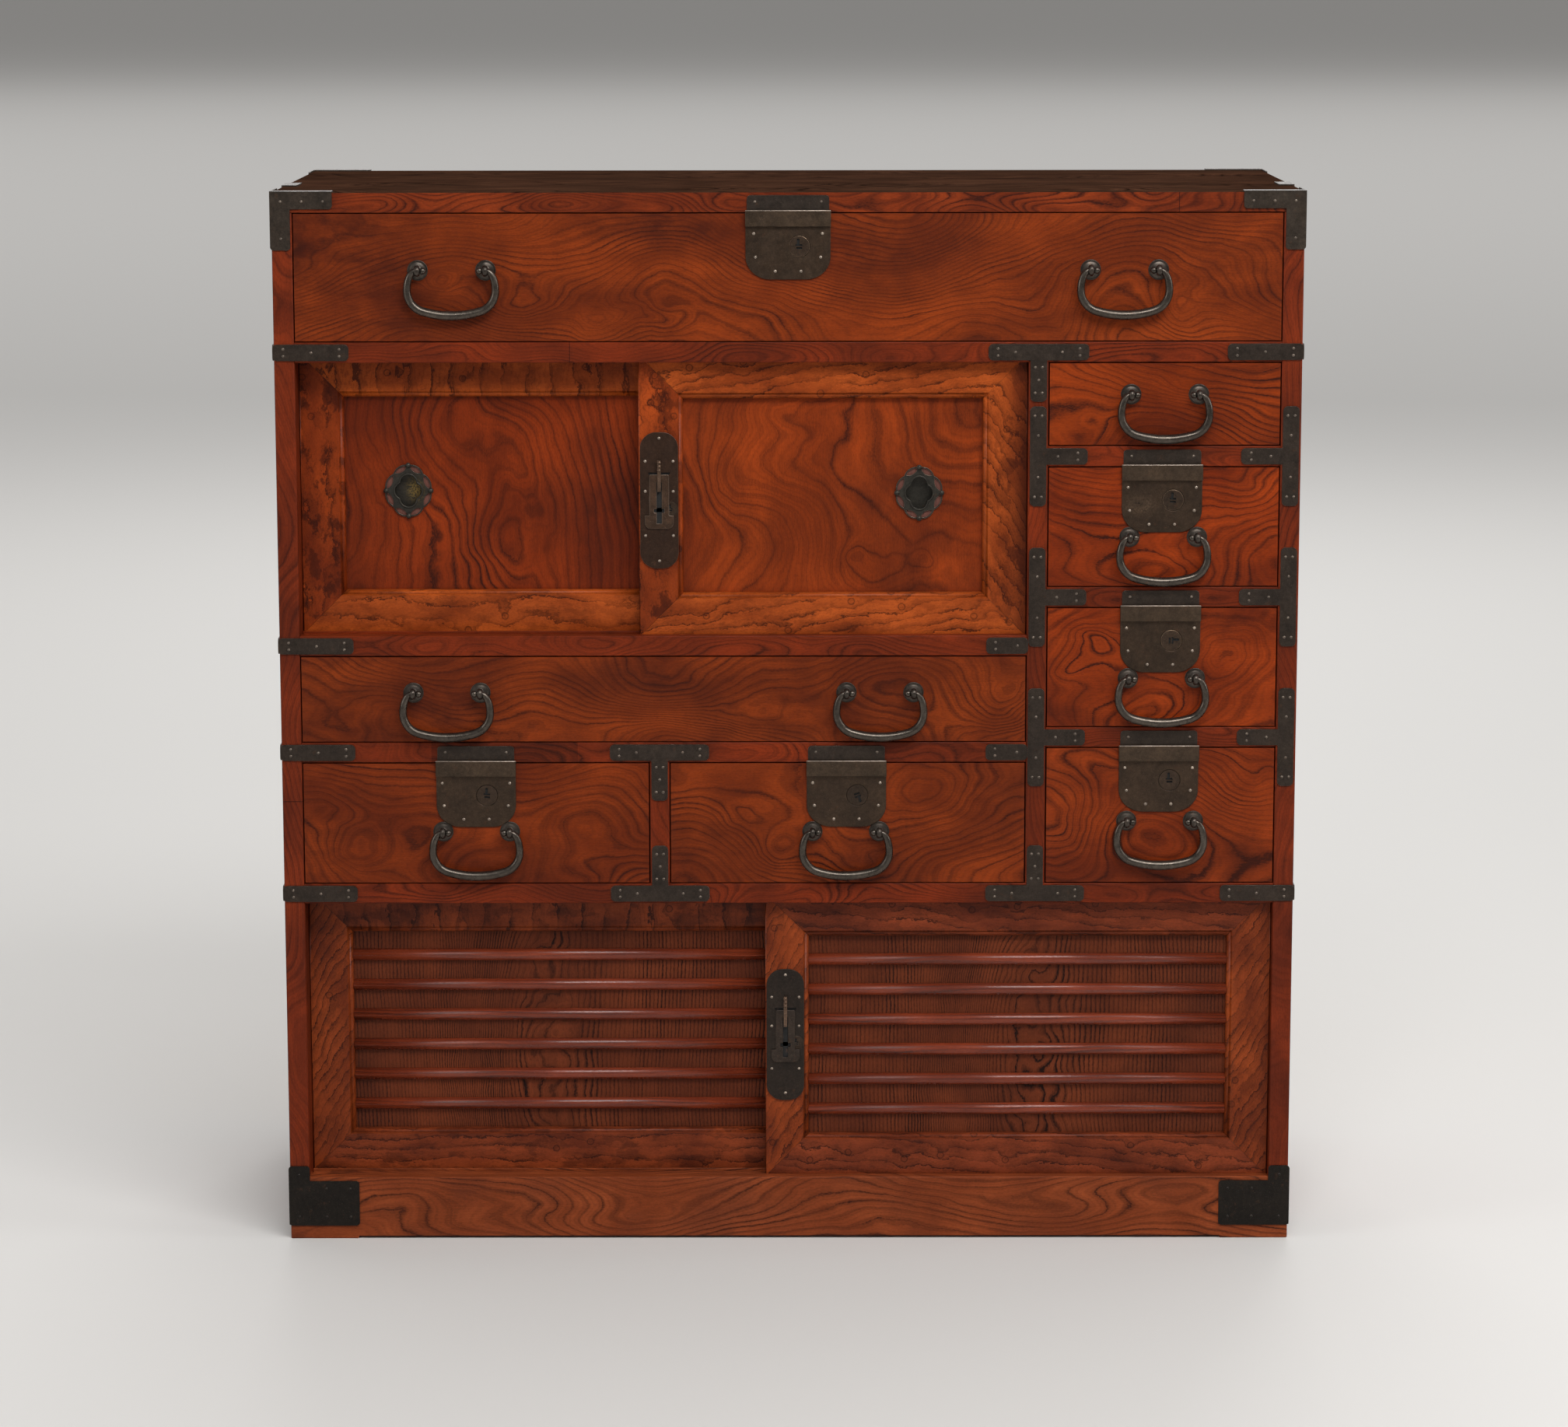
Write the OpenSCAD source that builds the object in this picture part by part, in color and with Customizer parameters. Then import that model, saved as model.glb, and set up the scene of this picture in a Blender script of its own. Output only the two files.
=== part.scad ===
// Small merchant's tansu chest: a keyaki case with eight drawers, two pairs of sliding
// doors and black iron fittings. The front plane faces -Y, and Z runs up from the floor.

/* [Case] */
// Width over the side boards
case_w = 880; // [840:5:920]
// Height from the floor to the top board
case_h = 920; // [915:1:930]
// Depth from the front plane to the back
case_d = 375; // [360:5:400]
// Thickness of a side board
side_t = 17.5; // [16:0.5:19]
// Thickness of the top board
top_t = 17; // [16.5:0.5:20]
// Height of the base board
base_h = 56; // [54:1:58]
// Thickness of the base board, front to back
base_t = 22; // [20:1:24]
// How far the base board's underside is relieved between its feet
foot_h = 2; // [1:0.5:3]
// Thickness of each back board
back_t = 8; // [6:1:10]

/* [Rails and dividers] */
// Height of a front rail
rail_t = 17.5; // [17:0.5:19]
// Front to back depth of a rail
rail_d = 55; // [52:1:60]
// Thickness of the shelf board behind a rail
shelf_t = 12; // [9:1:14]
// Top of the rail under the top drawer
rail_a = 792.5; // [790:0.5:795]
// Top of the rail under the upper doors
rail_b = 538.5; // [537:0.5:540]
// Top of the rail under the wide drawer
rail_c = 445; // [444:0.5:446]
// Top of the rail over the lower doors
rail_e = 320; // [319:0.5:321]
// Tops of the three rails in the right hand column, from the top down
column_rails = [702.8, 580.7, 458];
// Left face of the column divider
column_x = 206; // [203:0.5:209]
// Left face of the divider between the two small drawers
small_x = -120.5; // [-123:0.5:-118]
// Thickness of a divider
divider_t = 17; // [15:0.5:18]

/* [Sliding doors] */
// Setback of the front door's face from the front plane
door_set = 11; // [9:0.5:12]
// Thickness of a door
door_t = 17; // [16:0.5:18]
// Gap between the front and the rear door
door_gap = 3; // [2:0.5:4]
// Width of the flat part of a frame member
member_w = 33.5; // [33:0.5:36]
// Width of the bead on its inner edge
bead_w = 4.5; // [3:0.5:5]
// How far the two doors of a pair overlap
door_lap = 41; // [38:0.5:44]
// Thickness of a door panel
panel_t = 6; // [5:0.5:7]
// Setback of the panel from the door's face
panel_set = 6; // [5:0.5:7]
// Depth of the upper track
track_up = 9; // [8:0.5:10]
// Depth of the lower track
track_down = 2.5; // [2:0.25:3]
// Number of slats on a lower door
slat_n = 6; // [4:1:7]
// Height of one slat
slat_h = 10.5; // [8:0.5:12]

/* [Drawers] */
// Gap round a drawer
drawer_gap = 1; // [0.5:0.25:1.5]
// Thickness of a drawer front
front_t = 18; // [17:0.5:20]
// Thickness of a drawer side
drawer_side_t = 10; // [8:0.5:12]
// Thickness of a drawer back
drawer_back_t = 9; // [7:0.5:10]
// Thickness of a drawer bottom
drawer_floor_t = 6; // [5:0.5:8]
// Length of a drawer from its face to its back
drawer_l = 345; // [320:5:350]

/* [Handles] */
// Distance between the two posts of a handle
post_span = 58; // [56:0.5:60]
// Drop from the pivot to the middle of the hanging bar
bail_drop = 38.2; // [37:0.2:40]
// Half the width between the middles of the handle's sides
bail_half = 37.7; // [37:0.1:39]
// Radius of the handle's bar at its sides
bail_r = 3.2; // [3:0.1:3.4]
// Radius of the bar along its heavier bottom
grip_r = 4.2; // [3.8:0.1:4.4]
// Radius of the handle's pivot pins
pin_r = 2; // [1.8:0.1:2.2]
// Distance of the pivot in front of the drawer face
pivot_out = 8; // [7.5:0.1:8.5]
// Radius of the domed washer under a post
washer_r = 8.8; // [8:0.2:9.4]

/* [Locks] */
// Width of a lock plate
lock_w = 69; // [66:0.5:72]
// Width of the top drawer's lock plate
top_lock_w = 72.5; // [70:0.5:75]
// Drop of a lock plate below the top of its drawer opening
lock_drop = 57; // [55:0.5:60]
// Height of the raised band over the drawer gap
band_h = 14; // [12:0.5:15]
// Thickness of a lock plate
plate_t = 1.4; // [1.2:0.1:1.6]
// Radius of the turning key disc
disc_r = 9; // [8.5:0.1:9.5]
// Rise of the bolt when the key disc turns a quarter turn
bolt_rise = 7; // [6:0.5:7.5]

/* [Irons] */
// Thickness of the case irons
iron_t = 1.2; // [1:0.1:1.5]
// Width of straps and tees
strap_w = 14; // [13:0.5:15]
// Radius of a nail head
nail_r = 1.5; // [1.2:0.1:1.8]

/* [Hidden] */
$fn = 48;

// The middle of the whole depth, handle eyes and back irons included, lies on the Z axis
eye_r = 4.8;
front_y = -(case_d + iron_t - pivot_out - eye_r) / 2;
in_x = case_w / 2 - side_t;
inner_d = case_d - back_t;
opening_top = case_h - top_t;
iron_x = case_w / 2;

// Openings as left, right, bottom and top
TOP = [-in_x, in_x, rail_a, opening_top];
WIDE = [-in_x, column_x, rail_c, rail_b - rail_t];
LEFT = [-in_x, small_x, rail_e, rail_c - rail_t];
RIGHT = [small_x + divider_t, column_x, rail_e, rail_c - rail_t];
column_left = column_x + divider_t;
COLUMN_1 = [column_left, in_x, column_rails[0], rail_a - rail_t];
COLUMN_2 = [column_left, in_x, column_rails[1], column_rails[0] - rail_t];
COLUMN_3 = [column_left, in_x, column_rails[2], column_rails[1] - rail_t];
COLUMN_4 = [column_left, in_x, rail_e, column_rails[2] - rail_t];
UPPER = [-in_x, column_x, rail_b, rail_a - rail_t];
LOWER = [-in_x, in_x, base_h, rail_e - rail_t];

function mid_x(o) = (o[0] + o[1]) / 2;
// Handle pivots as x and z, worked out from the opening that they belong to
TOP_HANDLES = [[-287, TOP[3] - 49], [287, TOP[3] - 49]];
WIDE_HANDLES = [[mid_x(WIDE) - 187.5, WIDE[3] - 32], [mid_x(WIDE) + 187.5, WIDE[3] - 32]];
LEFT_HANDLE = [[mid_x(LEFT), LEFT[3] - 61]];
RIGHT_HANDLE = [[mid_x(RIGHT) - 1.5, RIGHT[3] - 61]];
HANDLE_1 = [[mid_x(COLUMN_1), COLUMN_1[3] - 27.5]];
HANDLE_2 = [[mid_x(COLUMN_2), COLUMN_2[3] - 61]];
HANDLE_3 = [[mid_x(COLUMN_3), COLUMN_3[3] - 62]];
HANDLE_4 = [[mid_x(COLUMN_4), COLUMN_4[3] - 65]];

// Locks as x of the middle, z of the opening's top and width of the plate
TOP_LOCK = [0, TOP[3], top_lock_w];
LEFT_LOCK = [mid_x(LEFT), LEFT[3], lock_w];
RIGHT_LOCK = [mid_x(RIGHT) - 1, RIGHT[3], lock_w];
LOCK_2 = [mid_x(COLUMN_2) - 1.5, COLUMN_2[3], lock_w];
LOCK_3 = [mid_x(COLUMN_3) - 1.5, COLUMN_3[3], lock_w];
LOCK_4 = [mid_x(COLUMN_4) - 1.5, COLUMN_4[3], lock_w];
LOCKS = [TOP_LOCK, LEFT_LOCK, RIGHT_LOCK, LOCK_2, LOCK_3, LOCK_4];
disc_dx = 9.5;
disc_dz = 29;
play = 0.3;
bolt_half = 13;
bolt_y = 4.6;
bolt_t = 4;

keyaki = "#8c3516";
keyaki_dark = "#6b2a14";
door_wood = "#9a4718";
slat_wood = "#7c2f1c";
pale_wood = "#c9a878";
iron = "#3a332d";
bright_iron = "#5a5046";

// ---- helpers -----------------------------------------------------------------------

module at_front() translate([0, front_y, 0]) children();

// A board between two opposite corners
module board(a, b) translate(a) cube(b - a);

// A flat outline in x and z, as a plate that stands t proud of the plane y = 0
module on_front(t) rotate([90, 0, 0]) linear_extrude(t) children();

module rounded(w, h, r) {
  translate([r, 0]) square([w - 2 * r, h]);
  translate([0, r]) square([w, h - 2 * r]);
  for (x = [r, w - r], y = [r, h - r]) translate([x, y]) circle(r);
}

// Plate on the front plane with rounded corners
module front_plate(x0, x1, z0, z1, r = 4)
  on_front(iron_t) translate([x0, z0]) rounded(x1 - x0, z1 - z0, r);

// Plate on a side face: s is -1 for the left side and 1 for the right
module side_plate(s, y0, y1, z0, z1, r = 4) {
  x = s > 0 ? iron_x : -iron_x - iron_t;
  translate([x, y0, z0]) rotate([90, 0, 90]) linear_extrude(iron_t)
    rounded(y1 - y0, z1 - z0, r);
}

// Domed nail head whose flat face lies at depth y, facing the front
module nail(x, z, y) {
  sink = nail_r * 0.45;
  translate([x, y, z]) difference() {
    translate([0, sink, 0]) sphere(nail_r, $fn = 24);
    translate([-5, 0, -5]) cube(10);
  }
}

// Domed nail head on a side face
module side_nail(s, y, z) {
  sink = nail_r * 0.45;
  translate([s * (iron_x + iron_t), y, z]) difference() {
    translate([-s * sink, 0, 0]) sphere(nail_r, $fn = 24);
    translate([s > 0 ? -10 : 0, -5, -5]) cube(10);
  }
}

// ---- case --------------------------------------------------------------------------

module side_board(s) at_front() color(keyaki_dark) difference() {
  x = s > 0 ? in_x : -in_x - side_t;
  board([x, 0, 0], [x + side_t, case_d, opening_top]);
  translate([x - 1, -1, -1]) cube([side_t + 2, base_t + 1, base_h + 1]);
}
module side_left() side_board(-1);
module side_right() side_board(1);

// Mortise that a raised lock bolt enters, above the opening of a lock
module bolt_mortise(l)
  translate([l[0] - bolt_half - play * 2, bolt_y - play * 2, l[1] - 1])
    cube([2 * bolt_half + play * 4, bolt_t + play * 4, bolt_rise + 1.5]);

module top_board() at_front() color(keyaki) difference() {
  board([-case_w / 2, 0, opening_top], [case_w / 2, case_d, case_h]);
  bolt_mortise(TOP_LOCK);
}

// The two tracks of a pair of doors, cut in the rail over (up) or under the opening
module tracks(o, up) {
  depth = up ? track_up : track_down;
  z = up ? o[3] - 1 : o[2] - depth;
  for (i = [0, 1])
    translate([o[0], door_set + i * (door_t + door_gap) - play, z])
      cube([o[1] - o[0], door_t + 2 * play, depth + 1]);
}

module base_board() at_front() color(keyaki) difference() {
  board([-case_w / 2, 0, 0], [case_w / 2, base_t, base_h]);
  translate([-case_w / 2 + 60, -1, -1]) cube([case_w - 120, base_t + 2, foot_h + 1]);
  tracks(LOWER, false);
}

module back_boards() at_front() color(pale_wood) {
  plank_n = 4;
  plank_h = opening_top / plank_n;
  for (i = [0 : plank_n - 1])
    board([-in_x, inner_d, i * plank_h + play], [in_x, case_d, (i + 1) * plank_h - play]);
}

module rail(x0, x1, top) board([x0, 0, top - rail_t], [x1, rail_d, top]);

module front_rails() at_front() color(keyaki) {
  difference() {
    rail(-in_x, in_x, rail_a);
    tracks(UPPER, true);
  }
  difference() {
    rail(-in_x, column_x, rail_b);
    tracks(UPPER, false);
  }
  difference() {
    rail(-in_x, column_x, rail_c);
    bolt_mortise(LEFT_LOCK);
    bolt_mortise(RIGHT_LOCK);
  }
  difference() {
    rail(-in_x, in_x, rail_e);
    tracks(LOWER, true);
  }
  for (i = [0 : 2]) difference() {
    rail(column_left, in_x, column_rails[i]);
    bolt_mortise([LOCK_2, LOCK_3, LOCK_4][i]);
  }
}

module shelf(x0, x1, top, y0 = rail_d)
  board([x0, y0, top - shelf_t], [x1, inner_d, top]);

module shelf_boards() at_front() color(pale_wood) {
  shelf(-in_x, in_x, rail_a);
  shelf(-in_x, column_x, rail_b);
  shelf(-in_x, column_x, rail_c);
  shelf(-in_x, in_x, rail_e);
  for (top = column_rails) shelf(column_left, in_x, top);
  difference() {
    board([-in_x, base_t, base_h - rail_t], [in_x, inner_d, base_h]);
    tracks(LOWER, false);
  }
}

module dividers() at_front() color(keyaki) {
  board([column_x, 0, rail_e], [column_left, inner_d, rail_a - rail_t]);
  board([small_x, 0, rail_e], [small_x + divider_t, inner_d, rail_c - rail_t]);
}

// ---- case irons --------------------------------------------------------------------

corner_arm = 52;
corner_leg = 49;
corner_leg_w = 16;
corner_lip = 12;
foot_iron_w = 61;
foot_iron_z = [12, 52.5, 66];

// Three armed iron on a top corner; s is the side and back turns it to the back
module top_corner(s, back) {
  y0 = back ? case_d - corner_arm : -iron_t;
  lip_y = back ? case_d - corner_lip : -iron_t;
  x0 = s > 0 ? iron_x - corner_arm : -iron_x - iron_t;
  leg_x = s > 0 ? iron_x - corner_leg_w : -iron_x - iron_t;
  face_y = back ? case_d + iron_t : 0;
  top_z = case_h + iron_t;
  translate([0, face_y, 0]) {
    front_plate(x0, x0 + corner_arm + iron_t, case_h - strap_w, top_z, 3);
    front_plate(leg_x, leg_x + corner_leg_w + iron_t, case_h - corner_leg, top_z, 3);
  }
  side_plate(s, y0, y0 + corner_arm + iron_t, case_h - strap_w, top_z, 3);
  board([x0, lip_y, case_h], [x0 + corner_arm + iron_t, lip_y + corner_lip + iron_t, top_z]);
}

// Strap over the top board's side edge, a hand's breadth behind the front
module edge_strap(s) {
  y0 = 95;
  y1 = 140;
  side_plate(s, y0, y1, case_h - strap_w, case_h + iron_t, 3);
  x0 = s > 0 ? iron_x - corner_lip : -iron_x - iron_t;
  board([x0, y0 + 1, case_h], [x0 + corner_lip + iron_t, y1 - 1, case_h + iron_t]);
}

// Stepped iron on a front bottom corner, wrapped round the side
module foot_corner(s) {
  z = foot_iron_z;
  leg_w = side_t;
  x0 = s > 0 ? iron_x - foot_iron_w : -iron_x - iron_t;
  leg_x = s > 0 ? iron_x - leg_w : -iron_x - iron_t;
  front_plate(x0, x0 + foot_iron_w + iron_t, z[0], z[1], 3);
  front_plate(leg_x, leg_x + leg_w + iron_t, z[0], z[2], 3);
  side_plate(s, -iron_t, foot_iron_w, z[0], z[1], 3);
}

module corner_irons() at_front() color(iron) for (s = [-1, 1]) {
  top_corner(s, false);
  top_corner(s, true);
  edge_strap(s);
  foot_corner(s);
}

strap_l = 64;
tee_arm = 86;
tee_stem = 35.5;
half_strap = strap_w / 2;
left_strap_z = [rail_a, rail_b, rail_c, rail_e];
right_strap_z = [rail_a, rail_e];
stub_strap_z = [rail_b, rail_c];
column_mid = column_x + divider_t / 2;
small_mid = small_x + divider_t / 2;
side_mid = in_x + side_t / 2;
// Tees whose arm lies on a rail, as x, top of the rail and direction of the stem
rail_tees = [[column_mid, rail_a, -1], [column_mid, rail_e, 1],
             [small_mid, rail_c, -1], [small_mid, rail_e, 1]];

function rail_mid(top) = top - rail_t / 2;

// Strap on a rail's end that wraps the case's outer edge
module edge_wrap(s, z) {
  x0 = s > 0 ? iron_x - strap_l : -iron_x - iron_t;
  front_plate(x0, x0 + strap_l + iron_t, z - half_strap, z + half_strap);
  side_plate(s, -iron_t, strap_l, z - half_strap, z + half_strap);
}

// Tee with a level arm centred on x and a stem that runs up (1) or down (-1)
module rail_tee(x, z, up) {
  front_plate(x - tee_arm / 2, x + tee_arm / 2, z - half_strap, z + half_strap);
  z0 = up > 0 ? z - half_strap : z - half_strap - tee_stem;
  front_plate(x - half_strap, x + half_strap, z0, z0 + strap_w + tee_stem);
}

// Tee with an upright centred on z and one arm towards dir
module post_tee(x, z, dir) {
  front_plate(x - half_strap, x + half_strap, z - tee_arm / 2, z + tee_arm / 2);
  x0 = dir > 0 ? x - half_strap : x - half_strap - tee_stem;
  front_plate(x0, x0 + strap_w + tee_stem, z - half_strap, z + half_strap);
}

strike_t = 1;
strike_inset = 1.2;

// Plate on the rail over a lock, with its upper corners rounded
module strike_plate(l) {
  w = l[2] - 2 * strike_inset;
  h = top_t - 3;
  translate([l[0] - w / 2, 0, l[1] + 0.5]) on_front(strike_t) {
    rounded(w, h, 3);
    square([w, h / 2]);
  }
}

module joint_irons() at_front() color(iron) {
  for (z = left_strap_z) edge_wrap(-1, rail_mid(z));
  for (z = right_strap_z) edge_wrap(1, rail_mid(z));
  for (z = stub_strap_z)
    front_plate(column_x - 35, column_mid - half_strap - 0.3,
                rail_mid(z) - half_strap, rail_mid(z) + half_strap);
  for (t = rail_tees) rail_tee(t[0], rail_mid(t[1]), t[2]);
  for (top = column_rails) {
    post_tee(column_mid, rail_mid(top), 1);
    post_tee(side_mid, rail_mid(top), -1);
  }
  for (l = LOCKS) strike_plate(l);
}

// A strap's nails: a pair at its inner end, one in the middle and a pair at its outer end
module strap_nails(x0, x1, z) {
  y = -iron_t;
  for (x = [x0 + 8, x1 - 8], dz = [-3, 3]) nail(x, z + dz, y);
  nail((x0 + x1) / 2, z, y);
}

// The nails of an upright iron, the same pattern turned
module post_nails(x, z0, z1) {
  y = -iron_t;
  for (z = [z0 + 8, z1 - 8], dx = [-3, 3]) nail(x + dx, z, y);
  nail(x, (z0 + z1) / 2, y);
}

module case_nails() at_front() color(bright_iron) {
  for (z = left_strap_z) strap_nails(-iron_x, -iron_x + strap_l, rail_mid(z));
  for (z = right_strap_z) strap_nails(iron_x - strap_l, iron_x, rail_mid(z));
  for (z = left_strap_z, y = [12, 56]) side_nail(-1, y, rail_mid(z));
  for (z = right_strap_z, y = [12, 56]) side_nail(1, y, rail_mid(z));
  for (z = stub_strap_z) {
    for (dz = [-3, 3]) nail(column_x - 27, rail_mid(z) + dz, -iron_t);
    nail(column_x - 8, rail_mid(z), -iron_t);
  }
  for (t = rail_tees) {
    z = rail_mid(t[1]);
    for (x = [-35, 35], dz = [-3, 3]) nail(t[0] + x, z + dz, -iron_t);
    for (x = [-20, 20]) nail(t[0] + x, z, -iron_t);
    post_nails(t[0], z + t[2] * 5 - (t[2] > 0 ? 0 : 38), z + t[2] * 5 + (t[2] > 0 ? 38 : 0));
  }
  for (top = column_rails, k = [[column_mid, 1], [side_mid, -1]]) {
    z = rail_mid(top);
    for (dz = [-35, 35], dx = [-3, 3]) nail(k[0] + dx, z + dz, -iron_t);
    for (dz = [-18, 18]) nail(k[0], z + dz, -iron_t);
    for (dz = [-3, 3]) nail(k[0] + k[1] * 34, z + dz, -iron_t);
    nail(k[0] + k[1] * 17, z, -iron_t);
  }
  for (l = LOCKS, s = [-1, 1]) nail(l[0] + s * (l[2] / 2 - 8), l[1] + 9, -strike_t);
  for (s = [-1, 1]) {
    for (x = [8, 26, 44]) nail(s * (iron_x - x), case_h - 7.5, -iron_t);
    nail(s * (iron_x - 8), case_h - 39, -iron_t);
    for (x = [8, 32, 53]) nail(s * (iron_x - x), foot_iron_z[0] + 8, -iron_t);
    for (x = [32, 53]) nail(s * (iron_x - x), foot_iron_z[1] - 7, -iron_t);
    nail(s * (iron_x - 8), foot_iron_z[2] - 8, -iron_t);
    for (y = [12, 44, case_d - 44, case_d - 12, 105, 130]) side_nail(s, y, case_h - 7.5);
    for (y = [12, 50], z = [foot_iron_z[0] + 8, foot_iron_z[1] - 8]) side_nail(s, y, z);
  }
}

// ---- drawers -----------------------------------------------------------------------

hole_r = 2.4;
mortise_l = 18;
mortise_r = 21;
mortise_d = 11;
mortise_top = 8;
mortise_foot = 42;
case_wall = 1.2;

// Space cut in a drawer front for its lock case and bolt; no lock means an empty list
module lock_mortise(l) {
  translate([l[0] - mortise_l - play, -1, l[1] - mortise_foot - play])
    cube([mortise_l + mortise_r + 2 * play, mortise_d + play + 1,
          mortise_foot - mortise_top + 2 * play]);
  translate([l[0] - bolt_half - play, bolt_y - play, l[1] - mortise_top - 1])
    cube([2 * bolt_half + 2 * play, bolt_t + 2 * play, mortise_top + 1]);
}

// Front, two sides, back and bottom, each a board of its own
module drawer(o, handles, lock = []) at_front() {
  x0 = o[0] + drawer_gap;
  x1 = o[1] - drawer_gap;
  z0 = o[2] + drawer_gap;
  z1 = o[3] - drawer_gap;
  rim = 3;
  color(keyaki) difference() {
    board([x0, 0, z0], [x1, front_t, z1]);
    for (h = handles, s = [-1, 1])
      translate([h[0] + s * post_span / 2, -1, h[1]]) rotate([-90, 0, 0])
        cylinder(r = hole_r, h = front_t + 2);
    if (len(lock) > 0) lock_mortise(lock);
  }
  color(pale_wood) {
    for (x = [x0 + 1, x1 - 1 - drawer_side_t])
      board([x, front_t, z0 + drawer_floor_t], [x + drawer_side_t, drawer_l, z1 - rim]);
    board([x0 + 1 + drawer_side_t, drawer_l - drawer_back_t, z0 + drawer_floor_t],
          [x1 - 1 - drawer_side_t, drawer_l, z1 - rim]);
    board([x0 + 1, front_t, z0], [x1 - 1, drawer_l, z0 + drawer_floor_t]);
  }
}

module top_drawer() drawer(TOP, TOP_HANDLES, TOP_LOCK);
module wide_drawer() drawer(WIDE, WIDE_HANDLES);
module left_drawer() drawer(LEFT, LEFT_HANDLE, LEFT_LOCK);
module right_drawer() drawer(RIGHT, RIGHT_HANDLE, RIGHT_LOCK);
module column_drawer_1() drawer(COLUMN_1, HANDLE_1);
module column_drawer_2() drawer(COLUMN_2, HANDLE_2, LOCK_2);
module column_drawer_3() drawer(COLUMN_3, HANDLE_3, LOCK_3);
module column_drawer_4() drawer(COLUMN_4, HANDLE_4, LOCK_4);

// ---- drawer irons ------------------------------------------------------------------

eye_w = 4.6;
dome_h = 2.6;
plate_corner = 19;
shank_r = 2.2;

// Post of a handle: domed washer, eye with a bore for the pin, shank and clenched legs
module post(x, z) translate([x, 0, z]) {
  difference() {
    union() {
      translate([-eye_w / 2, -pivot_out, 0]) rotate([0, 90, 0]) cylinder(r = eye_r, h = eye_w);
      rotate([90, 0, 0]) cylinder(r = shank_r, h = pivot_out - eye_r + 1.2);
    }
    translate([-eye_w, -pivot_out, 0]) rotate([0, 90, 0]) cylinder(r = pin_r + 0.06, h = 2 * eye_w);
  }
  difference() {
    dome_r = (washer_r * washer_r + dome_h * dome_h) / (2 * dome_h);
    translate([0, dome_r - dome_h, 0]) sphere(dome_r, $fn = 64);
    translate([-50, 0, -50]) cube(100);
    rotate([90, 0, 0]) cylinder(r = shank_r, h = 10, center = true);
  }
  rotate([-90, 0, 0]) cylinder(r = shank_r, h = front_t);
  translate([-7, front_t, -1]) cube([14, 1.4, 2]);
}

// Outline of a lock plate, hung from its top edge at z = 0
module plate_outline(w, h) {
  r = plate_corner;
  translate([-w / 2, r - h]) square([w, h - r]);
  translate([r - w / 2, -h]) square([w - 2 * r, r]);
  for (x = [r - w / 2, w / 2 - r]) translate([x, r - h]) circle(r);
}

plate_top = drawer_gap + 0.5;
band_out = 4.6;
band_up = 2;

module lock_plate(l) translate([l[0], 0, l[1]]) {
  w = l[2];
  difference() {
    union() {
      translate([0, 0, -plate_top]) on_front(plate_t) plate_outline(w, lock_drop - plate_top);
      translate([-w / 2, -band_out, band_up - band_h]) cube([w, band_out - plate_t + 0.1, band_h]);
    }
    translate([disc_dx, 1, -disc_dz]) rotate([90, 0, 0]) cylinder(r = disc_r + 0.08, h = 5);
  }
  for (n = [[29.3, 18], [27.8, 38], [11, 50]], s = [-1, 1]) nail(s * n[0], -n[1], -plate_t);
}

// Open fronted iron case behind the plate, in which the bolt slides
module lock_case(l) translate([l[0], 0, l[1]]) difference() {
  translate([-mortise_l, 0, -mortise_foot])
    cube([mortise_l + mortise_r, mortise_d, mortise_foot - mortise_top]);
  translate([-mortise_l + case_wall, -1, -mortise_foot + case_wall])
    cube([mortise_l + mortise_r - 2 * case_wall, mortise_d - case_wall + 1,
          mortise_foot - mortise_top - 2 * case_wall]);
  translate([-bolt_half - play, bolt_y - play, -mortise_top - 3])
    cube([2 * bolt_half + 2 * play, bolt_t + 2 * play, 6]);
}

module drawer_irons(handles, lock = []) at_front() color(iron) {
  for (h = handles, s = [-1, 1]) post(h[0] + s * post_span / 2, h[1]);
  if (len(lock) > 0) {
    lock_plate(lock);
    lock_case(lock);
  }
}

module top_drawer_irons() drawer_irons(TOP_HANDLES, TOP_LOCK);
module wide_drawer_irons() drawer_irons(WIDE_HANDLES);
module left_drawer_irons() drawer_irons(LEFT_HANDLE, LEFT_LOCK);
module right_drawer_irons() drawer_irons(RIGHT_HANDLE, RIGHT_LOCK);
module column_drawer_1_irons() drawer_irons(HANDLE_1);
module column_drawer_2_irons() drawer_irons(HANDLE_2, LOCK_2);
module column_drawer_3_irons() drawer_irons(HANDLE_3, LOCK_3);
module column_drawer_4_irons() drawer_irons(HANDLE_4, LOCK_4);

// ---- handles -----------------------------------------------------------------------

// An arc of round bar in the handle's plane, about (x, z), from angle a over sweep degrees
module bar_arc(x, z, radius, a, sweep, r)
  translate([x, 0, z]) rotate([90, 0, 0]) rotate([0, 0, a])
    rotate_extrude(angle = sweep, $fn = 120) translate([radius, 0]) circle(r, $fn = 48);

hook_r = 8;
corner_sweep = 73;
sag_angle = 90 - corner_sweep;
sag_r = 84;
corner_r = (bail_half - sag_r * sin(sag_angle)) / (1 - cos(corner_sweep));
corner_z = sag_r - bail_drop - sag_r * cos(sag_angle) + corner_r * sin(corner_sweep);

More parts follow.
